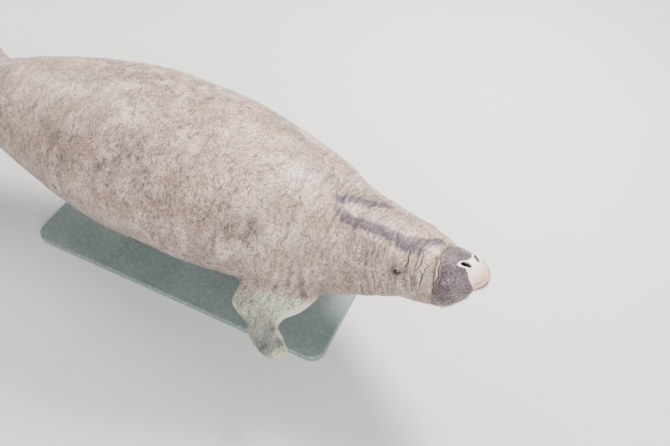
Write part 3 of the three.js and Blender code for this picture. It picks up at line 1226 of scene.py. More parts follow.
def empty_tree(name: str, inputs: dict[str, str]) -> bpy.types.GeometryNodeTree:
    """A new geometry tree, without nodes.

    Args:
        name: its name.
        inputs: the kind of each input that it has beside the geometry.

    Returns:
        The tree, which takes a geometry first and gives one.
    """
    tree = bpy.data.node_groups.new(name, "GeometryNodeTree")
    for label, kind in {"Geometry": "Geometry", **inputs}.items():
        tree.interface.new_socket(label, in_out="INPUT", socket_type=f"NodeSocket{kind}")
    tree.interface.new_socket("Geometry", in_out="OUTPUT", socket_type="NodeSocketGeometry")
    return tree


@dataclass(frozen=True)
class HideFinish:
    """Thick creased hide: grey-brown back, darker muzzle, pale lip pad and flippers."""

    back: Colour = linear(186, 146, 130)
    # light is pale mottling, and also the painted highlight on the hide's ridges
    light: Colour = linear(236, 208, 190)
    dark: Colour = linear(134, 106, 98)
    # painted shade: the darker colour of the lower flanks
    flank_shade: Colour = linear(140, 116, 110)
    algae: Colour = linear(156, 144, 108)
    # painted shade: the dark bands on the head top and under the upper lip
    shade_band: Colour = linear(58, 44, 64)
    # painted shade: the dark colour laid into creases, folds, hollows, fine wrinkles and round the
    # eyes
    muzzle: Colour = linear(44, 34, 48)
    # muzzle_light is also the painted highlight where the glow marks lie
    muzzle_light: Colour = linear(204, 174, 178)
    # painted highlight colour on the head, also used for the flippers' paler leading edges
    pale: Colour = linear(240, 224, 212)
    pad: Colour = linear(255, 238, 228)
    blush: Colour = linear(250, 190, 170)
    rim: Colour = linear(252, 246, 240)
    # painted shade: the near-black inside of each nostril
    hole: Colour = linear(10, 7, 8)
    flipper: Colour = linear(210, 212, 182)
    hand: Colour = linear(110, 120, 112)
    crease: Colour = linear(52, 38, 38)
    roughness: float = 0.5
    roughness_range: float = 0.1
    warp: float = 0.06

    def textures(self, w: Wiring, where: object) -> dict[str, object]:
        """The patterns that colour and relief share.

        Args:
            w: the material's wiring.
            where: the object coordinates.

        Returns:
            The output of each, by name.
        """
        warp = w.node("ShaderNodeTexNoise", {"Vector": where, "Scale": 14.0, "Detail": 2.0})
        sway = w.vector("MULTIPLY", warp.outputs["Color"], (self.warp, self.warp, self.warp))
        moved = w.vector("ADD", where, sway)
        tight = w.stretched(moved, (1.25, 0.8, 0.8))
        edges = {"feature": "DISTANCE_TO_EDGE"}
        coarse = w.node("ShaderNodeTexVoronoi", {"Vector": tight, "Scale": 62.0}, **edges)
        fine = w.node("ShaderNodeTexVoronoi", {"Vector": tight, "Scale": 170.0}, **edges)
        dots = w.node("ShaderNodeTexVoronoi", {"Vector": moved, "Scale": 150.0})
        return {
            "broad": w.grain(where, 3, 4),
            "patch": w.grain(where, 11, 6, 0.65),
            "speck": w.grain(where, 120, 3, 0.65),
            "grit": w.grain(where, 300, 2, 0.6),
            "pores": w.grain(where, 650, 2),
            "wide": w.grain(w.stretched(moved, (1, 0.3, 0.35)), 55, 4, 0.6),
            "lines": w.grain(w.stretched(moved, (1, 0.35, 0.4)), 120, 4, 0.6),
            "cracks": coarse.outputs["Distance"],
            "crackle": fine.outputs["Distance"],
            "dots": dots.outputs["Distance"],
        }

    def colour(self, w: Wiring, t: dict[str, object]) -> object:
        """The hide's colour, with painted shade and painted highlights laid into it.

        Args:
            w: the material's wiring.
            t: the hide's patterns.

        Returns:
            The output that gives the colour.
        """
        patch, speck, grit = t["patch"], t["speck"], t["grit"]
        base = w.mixed(w.spread(t["broad"], 0.36, 0.62), self.dark, self.back)
        base = w.mixed(w.spread(patch, 0.4, 0.72), base, self.light)
        base = w.mixed(w.spread(patch, 0.5, 0.36, (0, 0.3)), base, self.algae)
        # painted shade, darker down the flanks
        base = w.mixed(w.number("MULTIPLY", w.painted("flank_shade"), 0.55), base, self.flank_shade)
        base = w.mixed(w.spread(t["wide"], 0.5, 0.66, (0, 0.42)), base, self.light)
        base = w.mixed(w.spread(grit, 0.5, 0.7, (0, 0.6)), base, self.light)
        limb = w.mixed(w.painted("hand"), self.flipper, self.hand)
        limb = w.mixed(w.spread(patch, 0.6, 0.36, (0, 0.4)), limb, self.dark)
        base = w.mixed(w.painted("flipper"), base, limb)
        # painted highlight: where the glow marks lie the muzzle is lighter and shows more pale
        # grains
        worn = w.spread(w.painted("glow"), 0.0, 1.0, (0.45, 1.0))
        grains = w.number("MULTIPLY", w.spread(t["dots"], 0.46, 0.2), worn)
        nose = w.mixed(w.number("MULTIPLY", worn, 0.22), self.muzzle, self.muzzle_light)
        nose = w.mixed(w.number("MULTIPLY", grains, 0.95), nose, self.muzzle_light)
        base = w.mixed(w.painted("muzzle"), base, nose)
        # painted shade in dark bands on the head top, and a shadow under the upper lip
        wavy = w.number("MULTIPLY", w.number("SUBTRACT", patch, 0.5), 0.4)
        wavy = w.number("ADD", w.painted("shade_band"), wavy)
        base = w.mixed(w.spread(wavy, 0.08, 0.72, (0, 0.95)), base, self.shade_band)
        # dark specks, and painted shade in the fine wrinkles and in the cracks between the hide's
        # cells
        base = w.mixed(w.spread(speck, 0.54, 0.34, (0, 0.45)), base, self.crease)
        base = w.mixed(w.spread(t["lines"], 0.5, 0.36, (0, 0.6)), base, self.crease)
        base = w.mixed(w.spread(t["cracks"], 0.08, 0.0, (0, 0.6)), base, self.crease)
        base = w.mixed(w.spread(t["crackle"], 0.1, 0.0, (0, 0.4)), base, self.crease)
        # painted highlight: the hide's convex ridges are lightened
        base = w.mixed(w.number("MULTIPLY", w.painted("ridge"), 0.5), base, self.light)
        # painted highlights on the head, and paler leading edges on the flippers
        base = w.mixed(w.number("MULTIPLY", w.painted("pale"), 0.8), base, self.pale)
        pale = w.mixed(w.painted("blush"), self.pad, self.blush)
        pale = w.mixed(w.spread(grit, 0.55, 0.4, (0, 0.16)), pale, self.muzzle)
        base = w.mixed(w.spread(w.painted("pad"), 0.15, 0.85), base, pale)
        # painted shade in the creases, folds, hollows, the mouth's seam and round the eyes
        base = w.mixed(w.painted("crease"), base, self.crease)
        base = w.mixed(w.spread(w.painted("rim"), 0.1, 0.7), base, self.rim)
        # painted shade: the nostrils' holes near-black
        return w.mixed(w.painted("hole"), base, self.hole)

    @staticmethod
    def relief(w: Wiring, t: dict[str, object]) -> object:
        """The hide's fine relief, from wrinkles across the body down to pores.

        Args:
            w: the material's wiring.
            t: the hide's patterns.

        Returns:
            The output that gives the normal.
        """
        soft = w.number("SUBTRACT", 1.0, w.number("MULTIPLY", w.painted("pad"), 0.8), clamp=True)
        strength = w.number("MULTIPLY", soft, 0.7)
        normal = w.bump(t["wide"], 6, strength)
        normal = w.bump(t["lines"], 3, strength, normal)
        normal = w.bump(w.spread(t["cracks"], 0, 0.12), 1.2, strength, normal)
        normal = w.bump(w.spread(t["crackle"], 0, 0.14), 0.6, strength, normal)
        grains = w.number("MULTIPLY", w.spread(t["dots"], 0.5, 0.1), w.painted("muzzle"))
        normal = w.bump(grains, 0.8, 0.8, normal)
        return w.bump(t["pores"], 0.3, 0.4, normal)

    def material(self) -> bpy.types.Material:
        """The finished material.

        Returns:
            The material, with all its nodes.
        """
        made, w, shader, where = blank("hide")
        patterns = self.textures(w, where)
        span = self.roughness - self.roughness_range, self.roughness + self.roughness_range
        damp = w.spread(w.grain(where, 30, 3), 0.3, 0.7, span)
        damp = w.number("SUBTRACT", damp, w.number("MULTIPLY", w.painted("muzzle"), 0.12))
        inputs = {
            "Base Color": self.colour(w, patterns),
            "Roughness": damp,
            "Normal": self.relief(w, patterns),
            "Specular IOR Level": 0.5,
            "Coat Weight": 0.15,
            "Coat Roughness": 0.3,
        }
        w.feed(shader, inputs)
        return made


@dataclass(frozen=True)
class EyeFinish:
    """A near-black glossy eye with a dark brown iris."""

    white: Colour = linear(96, 78, 70)
    iris: Colour = linear(52, 34, 24)
    pupil: Colour = linear(6, 5, 5)
    streak: Colour = linear(84, 58, 40)
    iris_size: float = 6.4
    iris_soft: float = 0.5
    pupil_size: float = 3.0
    pupil_soft: float = 0.3

    def material(self) -> bpy.types.Material:
        """The finished material.

        Returns:
            The material, with all its nodes.
        """
        made, w, shader, where = blank("eye")
        far = w.painted("iris")
        streaks = w.grain(where, 900, 3)
        iris = w.mixed(w.spread(streaks, 0.4, 0.7), self.iris, self.streak)
        past = w.spread(far, self.pupil_size - self.pupil_soft, self.pupil_size + self.pupil_soft)
        inner = w.mixed(past, self.pupil, iris)
        past = w.spread(far, self.iris_size - self.iris_soft, self.iris_size + self.iris_soft)
        outer = w.mixed(past, inner, self.white)
        gloss = {"Roughness": 0.08, "Coat Weight": 1.0, "Coat Roughness": 0.03}
        w.feed(shader, {"Base Color": outer, **gloss})
        return made


@dataclass(frozen=True)
class HornFinish:
    """Pale horn with growth lines."""

    light: Colour = linear(196, 182, 156)
    dark: Colour = linear(128, 112, 92)

    def material(self) -> bpy.types.Material:
        """The finished material.

        Returns:
            The material, with all its nodes.
        """
        made, w, shader, where = blank("nail")
        lines = w.grain(w.stretched(where, (1, 0.4, 1.6)), 420, 3)
        colour = w.mixed(w.spread(lines, 0.35, 0.65), self.dark, self.light)
        relief = w.bump(lines, 0.4, 0.5)
        w.feed(shader, {"Base Color": colour, "Normal": relief, "Roughness": 0.38})
        return made


@dataclass(frozen=True)
class BristleFinish:
    """Stiff pale hairs."""

    root: Colour = linear(120, 104, 88)
    tip: Colour = linear(206, 190, 164)

    def material(self) -> bpy.types.Material:
        """The finished material.

        Returns:
            The material, with all its nodes.
        """
        made, w, shader, where = blank("bristle")
        colour = w.mixed(w.spread(w.grain(where, 260, 2), 0.35, 0.65), self.root, self.tip)
        w.feed(shader, {"Base Color": colour, "Roughness": 0.45})
        return made


@dataclass(frozen=True)
class PaintFinish:
    """Flat grey-green paint with a roller's fine texture and worn edges."""

    paint: Colour = linear(108, 122, 118)
    worn: Colour = linear(150, 158, 152)

    def material(self) -> bpy.types.Material:
        """The finished material.

        Returns:
            The material, with all its nodes.
        """
        made, w, shader, where = blank("board_paint")
        broad = w.grain(where, 5, 4)
        fine = w.grain(where, 380, 3)
        colour = w.mixed(w.spread(broad, 0.3, 0.75, (0, 0.28)), self.paint, self.worn)
        edge = w.painted("edge")
        chips = w.number("MULTIPLY", edge, w.spread(w.grain(where, 60, 4, 0.7), 0.5, 0.62))
        inputs = {
            "Base Color": w.mixed(chips, colour, self.worn),
            "Roughness": w.spread(broad, 0.3, 0.7, (0.42, 0.56)),
            "Normal": w.bump(fine, 0.3, 0.4),
        }
        w.feed(shader, inputs)
        return made


@dataclass(frozen=True)
class SteelFinish:
    """Steel brushed round its upright pieces, with faint smears."""

    steel: Colour = (0.62, 0.63, 0.64)
    smear: Colour = linear(150, 152, 154)

    def material(self) -> bpy.types.Material:
        """The finished material.

        Returns:
            The material, with all its nodes.
        """
        made, w, shader, where = blank("brushed_steel")
        brushed = w.grain(w.stretched(where, (1, 1, 16)), 160, 4)
        smears = w.grain(where, 14, 4)
        colour = w.mixed(w.spread(smears, 0.35, 0.7, (0, 0.3)), self.steel, self.smear)
        inputs = {
            "Base Color": colour,
            "Roughness": w.spread(brushed, 0.3, 0.7, (0.22, 0.4)),
            "Normal": w.bump(brushed, 0.06, 0.4),
            "Metallic": 1.0,
        }
        w.feed(shader, inputs)
        return made


@dataclass
class Chart:
    """Where each point of the hide lies on the animal."""

    points: Array
    normals: Array
    along: Array
    across: Array
    over: Array
    turn: Array
    radius: Array
    limb: Array

    @classmethod
    def of(cls, mesh: bpy.types.Mesh, trunk: Trunk) -> "Chart":
        """Reads a mesh's points and finds the place of each.

        Args:
            mesh: the hide's mesh.
            trunk: the plain body under it.

        Returns:
            The chart.
        """
        points = points_of(mesh)
        along, across, over = trunk.spine.locate(points)
        turn, radius = np.arctan2(over, across), np.hypot(across, over)
        plain = np.hypot(*trunk.section(along, turn))
        limb = ramp(radius - plain, 6, 60) * ramp(along, 420, 520) * ramp(-along, -1100, -950)
        return cls(points, normals_of(mesh), along, across, over, turn, radius, limb)

    def near(self, centre: Array, reach: float) -> Array:
        """1 well inside a ball round a place, 0 outside it."""
        return ramp(-np.linalg.norm(self.points - centre, axis=1), -reach, -0.7 * reach)


@dataclass
class Hide:
    """One continuous skin over head, jaw, body, flippers and tail."""

    trunk: Trunk
    jaw: Jaw
    flippers: tuple[Flipper, Flipper]
    nostrils: tuple[Nostril, Nostril]
    eyes: tuple[Eye, Eye]
    blend_reach: float = 34
    blend_rounds: int = 70
    mouth_end: float = 150
    seed: int = 11
    zones: tuple[CreaseZone, ...] = (
        CreaseZone(60, 140, 26, 0.6, 2.8, 20, 0.25, Run.ALONG, -1.1, 0.2),
        CreaseZone(150, 260, 30, 0.9, 3.2, 0.3, 0.35),
        CreaseZone(250, 430, 60, 1.0, 4.2, 0.35, 0.3),
        CreaseZone(430, 760, 110, 1.3, 8, 0.3, 0.18),
        CreaseZone(760, 2200, 150, 1.5, 14, 0.25, 0.12),
        CreaseZone(2200, 2700, 40, 1.2, 14, 0.4, 0.12),
    )
    creases: tuple[Mark, ...] = (
        Mark(
            ((148, 0, 76), (143, -36, 68), (124, -74, 51), (117, -94, 16), (127, -94, -26)),
            3.4,
            3.2,
        ),
        Mark(((127, -94, -22), (134, -90, -52), (146, -78, -72)), 3.4, 2.5),
        Mark(
            ((202, -60, 84), (190, -82, 71), (190, -98, 55), (192, -107, 43), (199, -116, 30)),
            3,
            3.2,
        ),
        Mark(
            ((246, -74, 94), (239, -89, 83), (237, -108, 68), (237, -122, 53), (243, -136, 33)),
            3,
            3.2,
        ),
        Mark(((169, -104, 26), (174, -110, 9), (176, -113, -10), (182, -113, -32)), 3, 3),
        Mark(((180, -113, -30), (190, -112, -50), (204, -110, -66)), 3, 2),
        Mark(((212, -124, 8), (206, -120, -12), (208, -118, -30)), 2.8, 1.6),
        Mark(((284, -155, 20), (257, -148, 12), (232, -139, 2), (216, -128, -16)), 3, 1.7),
        Mark(((286, -156, -14), (262, -151, -20), (240, -142, -34)), 3, 1.3),
        Mark(((12, -72, -16), (31, -86, -35), (62, -96, -65)), 2.8, 1.8),
        Mark(((19, -75, -38), (46, -90, -56), (74, -96, -80)), 2.8, 1.8),
        Mark(((34, -82, -6), (54, -90, -20), (80, -96, -34)), 2.6, 1.2),
        Mark(((24, -78, -60), (54, -88, -76), (84, -92, -96)), 2.8, 1.8),
        Mark(((232, -129, 56), (240, -127, 60), (254, -130, 62), (270, -140, 56)), 2.6, 1.2),
        Mark(((230, -134, 40), (222, -128, 30), (218, -126, 16)), 2.6, 1.4),
        Mark(((286, -150, 46), (298, -158, 36), (312, -164, 30)), 2.8, 1.2),
        Mark(
            ((4, -42, 15), (1, -22, 11), (0, 0, 9), (1, 22, 11), (4, 42, 15)),
            2.8,
            1.6,
            pairs=False,
        ),
        Mark(((4, 0, -8), (6, 0, -24), (12, 0, -44), (22, 0, -62)), 4, 3, pairs=False),
    )
    # painted shade: dark bands along the head top and crown; the last is a painted shadow under the
    # upper lip
    shade_bands: tuple[Mark, ...] = (
        Mark(
            ((629, -67, 216), (488, -83, 174), (423, -77, 157), (367, -71, 140), (297, -63, 118)),
            21,
            pairs=False,
            reach=3,
            sway=0.4,
        ),
        Mark(
            (
                (423, -77, 157),
                (367, -71, 140),
                (297, -63, 118),
                (256, -70, 101),
                (222, -65, 92),
                (184, -66, 80),
            ),
            23,
            pairs=False,
            reach=3,
            sway=0.25,
        ),
        Mark(
            ((629, -67, 216), (561, -19, 204), (481, 16, 186), (419, 45, 165), (369, 92, 132)),
            17,
            pairs=False,
            reach=3,
            sway=0.4,
        ),
        Mark(
            (
                (290, -56, 118),
                (249, -41, 107),
                (221, -31, 101),
                (195, -13, 97),
                (169, 5, 89),
                (152, 20, 79),
            ),
            16,
            pairs=False,
            reach=3,
            sway=0.25,
        ),
        Mark(((16, -72, -16), (8, -64, -8), (3, -48, -9), (4, -24, -22), (8, 0, -34)), 9, reach=3),
    )
    # painted highlights: a bright patch on the head and a lit edge along the crease behind the
    # muzzle
    painted_highlights: tuple[Mark, ...] = (
        Mark(((168, -44, 82), (158, -40, 78), (148, -34, 71)), 10, pairs=False, reach=3, sway=0.2),
        Mark(((138, -50, 67), (132, -67, 57), (126, -83, 40), (121, -93, 20), (124, -95, -1)), 2.2),
    )
    # painted highlights on the muzzle's sides and top
    glows: tuple[Mark, ...] = (
        Mark(((102, -96, 8), (64, -93, 15), (34, -87, 10)), 17, reach=3, sway=0.3),
        Mark(((60, -95, -20), (26, -84, -25), (37, -89, -40)), 15, reach=3, sway=0.3),
        Mark(((124, -47, 68), (101, -42, 68), (101, -15, 71)), 13, reach=3, sway=0.3),
    )
    pad: Rows = (
        (-32, 0),
        (-25, 16),
        (-14, 29),
        (-4, 37),
        (9, 43),
        (28, 50),
        (46, 48),
        (61, 41),
        (72, 30),
    )
    pad_left: float = 10
    lip_spots: Rows = ((84, 96, -80, 44), (26, 60, -44, 34), (110, 0, -130, 46))
    muzzle_edge: Rows = (
        (-90, 150),
        (-52, 134),
        (-26, 127),
        (16, 117),
        (51, 126),
        (68, 143),
        (80, 148),
    )
    nodes: tuple[str, ...] = (
        "muzzle",
        "head",
        "neck",
        "chest",
        "belly",
        "tail_stock",
        "tail_paddle",
        "lower_jaw",
        "left_flipper",
        "right_flipper",
    )

    def joined(self) -> tuple[bpy.types.Object, Array]:
        """The body with jaw and flippers fused on.

        Returns:
            The object, and the points that its pieces had before they were fused.
        """
        forms = [self.trunk.shell(), self.jaw.shell(), *(f.shell() for f in self.flippers)]
        base, *others = [piece(f"form_{k}", *form) for k, form in enumerate(forms)]
        for other in others:
            cut = base.modifiers.new(other.name, "BOOLEAN")
            cut.operation, cut.object, cut.solver = "UNION", other, "MANIFOLD"
        mesh = evaluated(base)
        for made in (base, *others):
            dropped(made)
        hide = linked("hide", mesh)
        self.keep_largest(hide)
        return hide, np.vstack([points for points, _ in forms])

    @staticmethod
    def keep_largest(made: bpy.types.Object) -> None:
        """Keeps the largest connected surface of a mesh.

        Args:
            made: the object whose mesh is cleaned.
        """
        edges = edges_of(made.data)
        label = np.arange(len(made.data.vertices))
        while True:
            low = np.minimum(label[edges[:, 0]], label[edges[:, 1]])
            new = label.copy()
            np.minimum.at(new, edges[:, 0], low)
            np.minimum.at(new, edges[:, 1], low)
            new = new[new]
            if (new == label).all():
                break
            label = new
        largest = np.bincount(label).argmax()
        bm = bmesh.new()
        bm.from_mesh(made.data)
        bm.verts.ensure_lookup_table()
        loose = [bm.verts[k] for k in np.flatnonzero(label != largest)]
        bmesh.ops.delete(bm, geom=loose, context="VERTS")
        bm.to_mesh(made.data)
        bm.free()

    def blended(self, hide: bpy.types.Object, before: Array) -> Array:
        """Smooths the hide where the flippers and the back of the jaw grow out of it.

        Args:
            hide: the fused shape.
            before: the points that its pieces had.

        Returns:
            The points of the seams.
        """
        points, edges = points_of(hide.data), edges_of(hide.data)
        seam = nearest(points, tree_of(before)) > 0.02
        far = nearest(points, tree_of(points[seam]))
        along, _, _ = self.trunk.spine.locate(points)
        free = ramp(along, self.mouth_end, self.mouth_end + 70)
        share = 0.6 * free * bell(far, self.blend_reach)
        points = relaxed(points, edges, np.where(share > 0.01, share, 0), self.blend_rounds)
        tight = 0.5 * (1 - free) * bell(far, 2.5)
        move(hide.data, relaxed(points, edges, tight, 3))
        return points[seam]

    def refined(self, hide: bpy.types.Object) -> None:
        """Gives the nostrils and eyes a finer mesh.

        Args:
            hide: the fused and blended shape.
        """
        bm = bmesh.new()
        bm.from_mesh(hide.data)
        spots = [(n.centre, reach) for n in self.nostrils for reach in (42, 32)]
        spots += [(e.centre, reach) for e in self.eyes for reach in (46, 32, 18)]
        for centre, reach in spots:
            middle = Vector(centre * METRES)
            near = {v for v in bm.verts if (v.co - middle).length < reach * METRES}
            edges = [e for e in bm.edges if e.verts[0] in near and e.verts[1] in near]
            bmesh.ops.subdivide_edges(bm, edges=edges, cuts=1, use_grid_fill=True)
        bm.to_mesh(hide.data)
        bm.free()
        chart = Chart.of(hide.data, self.trunk)
        share = np.max([chart.near(centre, reach) for centre, reach in spots], axis=0)
        move(hide.data, relaxed(chart.points, edges_of(hide.data), 0.5 * share, 5))

    def wrinkles(self, chart: Chart) -> tuple[Array, Array]:
        """The short creases that are strewn over the hide.

        Args:
            chart: the hide's points and their places.

        Returns:
            Their depth, and the painted shade in their grooves, at each point.
        """
        rng = np.random.default_rng(self.seed)
        depths, shades = np.zeros(len(chart.along)), np.zeros(len(chart.along))
        for zone in self.zones:
            for _ in range(zone.count):
                at = rng.uniform(zone.start, zone.stop)
                level = rng.uniform(zone.lowest, zone.highest)
                middle = level if rng.random() < 0.5 else math.pi - level
                extent, size = zone.extent * rng.uniform(0.5, 1.5), rng.uniform(0.4, 1.2)
                lean, wave, phase = rng.normal(0, 16), rng.uniform(2, 6), rng.uniform(0, TAU)
                round_by = (chart.turn - middle + math.pi) % TAU - math.pi
                if zone.run is Run.ROUND:
                    ripple = np.sin(wave * round_by / extent + phase)
                    bend = lean * round_by + 0.7 * zone.width * ripple
                    off, run = (chart.along - at - bend) / zone.width, round_by / extent
                else:
                    bend = 3 * np.sin((chart.along - at) / 14 + phase)
                    off = (round_by * chart.radius + bend) / zone.width
                    run = (chart.along - at) / extent
                close = (np.abs(off) < 5) & (np.abs(run) < 1.6)
                line = np.exp(-(run[close] ** 4)) * size
                groove = bell(off[close], 1) - 0.35 * bell(np.abs(off[close]) - 2.1, 1)
                depths[close] += zone.depth * line * groove
                # painted shade in the groove
                shades[close] += zone.shade * line * bell(off[close], 1)
        return depths, shades

    def carved(self, hide: bpy.types.Object) -> tuple[Chart, Array, Array, Array]:
        """Adds creases, lumps, nostrils and lids to the shape.

        Args:
            hide: the fused and refined shape.

        Returns:
            The chart from before, the painted shade at each point, and how much is rim and hole.
        """
        chart = Chart.of(hide.data, self.trunk)
        points, body = chart.points, 1 - chart.limb
        centres = [(n.centre, 40) for n in self.nostrils] + [(e.centre, 30) for e in self.eyes]
        plain = 1 - np.max([chart.near(*centre) for centre in centres], axis=0)
        depth, shade = self.wrinkles(chart)
        depth, shade = depth * body * plain, shade * body * plain
        for crease in self.creases:
            far, fade = crease.trace(hide, self.trunk.spine, points)
            groove = bell(far, 1) - 0.4 * bell(np.abs(far) - 2, 0.9)
            depth = depth + crease.depth * fade * groove * plain
            # painted shade along the crease's groove
            line = 0.19 * crease.depth * fade * (0.7 * bell(far, 0.8) + 0.3 * bell(far, 2.2))
            shade = np.maximum(shade, line * plain)
        paddle = ramp(chart.along, 2250, 2600)
        rough = 3.4 * lumps(points, 230, 3.1) + 1.4 * lumps(points, 70, 7.7)
        rough = rough * ramp(chart.along, 250, 600) * (1 - 0.75 * paddle) * (1 - 0.6 * chart.limb)
        grain = 0.4 + 0.3 * ramp(-chart.along, -150, -120)
        rough = rough + (0.7 * lumps(points, 26, 1.3) + grain * lumps(points, 10, 5.2)) * plain
        points = points + chart.normals * (rough - depth)[:, None]
        moved, rim, hole = points.copy(), np.zeros(len(points)), np.zeros(len(points))
        for nostril in self.nostrils:
            close = nostril.ellipse(points)[0] < 6
            moved[close] += nostril.out * nostril.lift(points[close])[:, None]
            pale, dark = nostril.shade(points)
            rim, hole = np.maximum(rim, pale), np.maximum(hole, dark)
        for eye in self.eyes:
            size = eye.ellipse(points)
            moved += eye.out * (eye.lift(points) * (size < 8))[:, None]
            # painted shade at the eye's opening, round it and in the creased rings of its lids
            shade = np.maximum(shade, 0.9 * bell(size - 1.0, 0.35) + 0.42 * bell(size, 3))
            for (at, _), dark in zip(eye.rings, (0.6, 0.5)):
                shade = np.maximum(shade, dark * bell(size - at, eye.ring_width))
        move(hide.data, moved)
        return chart, shade, rim, hole

    def spread(self, hide: bpy.types.Object, marks: tuple[Mark, ...], points: Array) -> Array:
        """How much of some marks lies at points of the hide.

        Args:
            hide: the hide that the marks are on.
            marks: the marks.
            points: the hide's points.

        Returns:
            0 away from them to 1 in their middle.
        """
        total = np.zeros(len(points))
        for mark in marks:
            far, fade = mark.trace(hide, self.trunk.spine, points)
            total = np.maximum(total, fade * bell(far, 1))
        return total

    @staticmethod
    def hollows(mesh: bpy.types.Mesh) -> Array:
        """How hollow the shape is at each point, negative on ridges.

        Args:
            mesh: the hide's mesh.

        Returns:
            About the sine of the slope towards its neighbours.
        """
        points, edges = points_of(mesh), edges_of(mesh)
        ends, others = np.concatenate([edges, edges[:, ::-1]]).T
        count = np.bincount(ends, minlength=len(points))
        offsets = points[others] - points[ends]
        rise = (offsets * normals_of(mesh)[ends]).sum(1) / np.linalg.norm(offsets, axis=1)
        return np.bincount(ends, rise, len(points)) / np.maximum(count, 1)

    def painted(
        self,
        hide: bpy.types.Object,
        chart: Chart,
        seam: Array,
        shade: Array,
        rim: Array,
        hole: Array,
    ) -> None:
        """Paints the regions that the material and the bristles read, painted shade and highlights
        among them.

        Args:
            hide: the finished shape.
            chart: its points' places.
            seam: the points where its parts meet.
            shade: the painted shade of creases and eyes at each point.
            rim: how much is a nostril's rim.
            hole: how much is a nostril's hole, painted dark as shade.
        """
        mesh, spine, points = hide.data, self.trunk.spine, chart.points
        hollow = self.hollows(mesh)
        folds = self.trunk.fold_depth(chart.along, chart.turn) / 8 * (1 - chart.limb)
        # painted shade: a dark line along the seam where the jaw meets the lips, fading out behind
        # the mouth
        mouth_shade = bell(nearest(points, tree_of(seam)), 3)
        mouth_shade = mouth_shade * ramp(-chart.along, -self.mouth_end - 25, 25 - self.mouth_end)
        # painted shade: darker in creases, folds, hollows and along the mouth's seam
        dark = shade + 0.3 * folds + 0.8 * mouth_shade + 2.2 * np.clip(hollow, 0, 0.3)
        limb = chart.limb > 0
        share, edge = np.zeros(len(points)), np.zeros(len(points))
        for flipper in self.flippers:
            here, lead, _ = flipper.locate(points[limb])
            half, _, back = flipper.row(here)
            own = chart.across[limb] * flipper.side.value > 0
            share[limb] = np.maximum(share[limb], here * own)
            front = ramp((lead + back) / np.maximum(half, 1), 0.66, 0.96) * own
            edge[limb] = np.maximum(edge[limb], front)
        groups = self.shade_bands, self.painted_highlights, self.glows
        shade_band, pale, glow = (self.spread(hide, marks, points) for marks in groups)
        # paler towards each flipper's leading edge
        pale = np.maximum(pale, 0.55 * edge * chart.limb)
        over, half = np.array(self.pad).T
        half = np.interp(chart.over, over, half) + self.pad_left * (chart.across > 0)
        inside = half - np.abs(chart.across)
        front = ramp(-chart.along, -64, -54)
        soft = 3 + 5 * ramp(-chart.over, -12, 10)
        pad = ramp(inside + 4 * lumps(points, 10, 4.4), -soft, soft + 1) * front
        lips = bell(inside, 7) * front * 0.5
        for along, across, height, reach in self.lip_spots:
            for side in (1, -1):
                far = np.linalg.norm(points - spine.place(along, side * across, height), axis=1)
                lips = np.maximum(lips, bell(far, reach))
        edge_at = np.interp(chart.over, *np.array(self.muzzle_edge).T)
        behind = chart.along + 3 * lumps(points, 16, 8.8) - edge_at
        muzzle = ramp(-behind, -6, 8)
        free = (1 - np.clip(hole * 3, 0, 1)) * (1 - np.clip(rim * 2, 0, 1))
        # painted shade in creases, folds, hollows, the mouth's seam and round the eyes
        paint(mesh, "crease", np.clip(dark, 0, 0.9))
        # painted highlight on the convex ridges, from how the hide curves
        paint(mesh, "ridge", np.clip(-4 * hollow, 0, 1))
        # painted shade in the dark bands
        paint(mesh, "shade_band", shade_band)
        # painted highlights on the head, with paler flipper leading edges
        paint(mesh, "pale", pale)
        # painted highlights on the muzzle
        paint(mesh, "glow", glow)
        patchy = 0.22 * lumps(points, 60, 6.1) + 0.12 * lumps(points, 18, 3.9)
        paint(mesh, "flipper", ramp(chart.limb + patchy * (chart.limb > 0), 0.1, 0.95))
        paint(mesh, "hand", ramp(share, 0.5, 0.7) * ramp(-share, -0.97, -0.86))
        # painted shade, darker from the back down the flanks to the belly
        paint(mesh, "flank_shade", ramp(-chart.over, -60, 120) * (1 - chart.limb))
        paint(mesh, "muzzle", muzzle)
        paint(mesh, "pad", pad * (1 - hole))
        paint(mesh, "blush", ramp(-chart.over + 0.35 * chart.across, -62, -14))
        paint(mesh, "rim", rim)
        # painted shade inside the nostrils
        paint(mesh, "hole", hole)
        paint(mesh, "bristle", lips * free)
        hair = free * (0.35 + 0.65 * muzzle) * (1 - 0.5 * pad)
        paint(mesh, "hair", hair * (1 - 0.7 * chart.limb))
        unwrap = mesh.attributes.new("unwrap", "FLOAT_VECTOR", "POINT")
        flat = np.stack([chart.along / spine.length, chart.turn / TAU + 0.5, 0 * chart.turn], -1)
        unwrap.data.foreach_set("vector", flat.astype(np.float32).ravel())

    def build(self) -> bpy.types.Object:
        """The finished hide, riding on the body and standing for its solids.

        Returns:
            The hide's object.
        """
        hide, before = self.joined()
        seam = self.blended(hide, before)
        self.refined(hide)
        chart, shade, rim, hole = self.carved(hide)
        self.painted(hide, chart, seam, shade, rim, hole)
        hide.data.shade_smooth()
        hide.data.materials.clear()
        hide.data.materials.append(HideFinish().material())
        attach(hide, BODY)
        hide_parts(*self.nodes)
        return hide


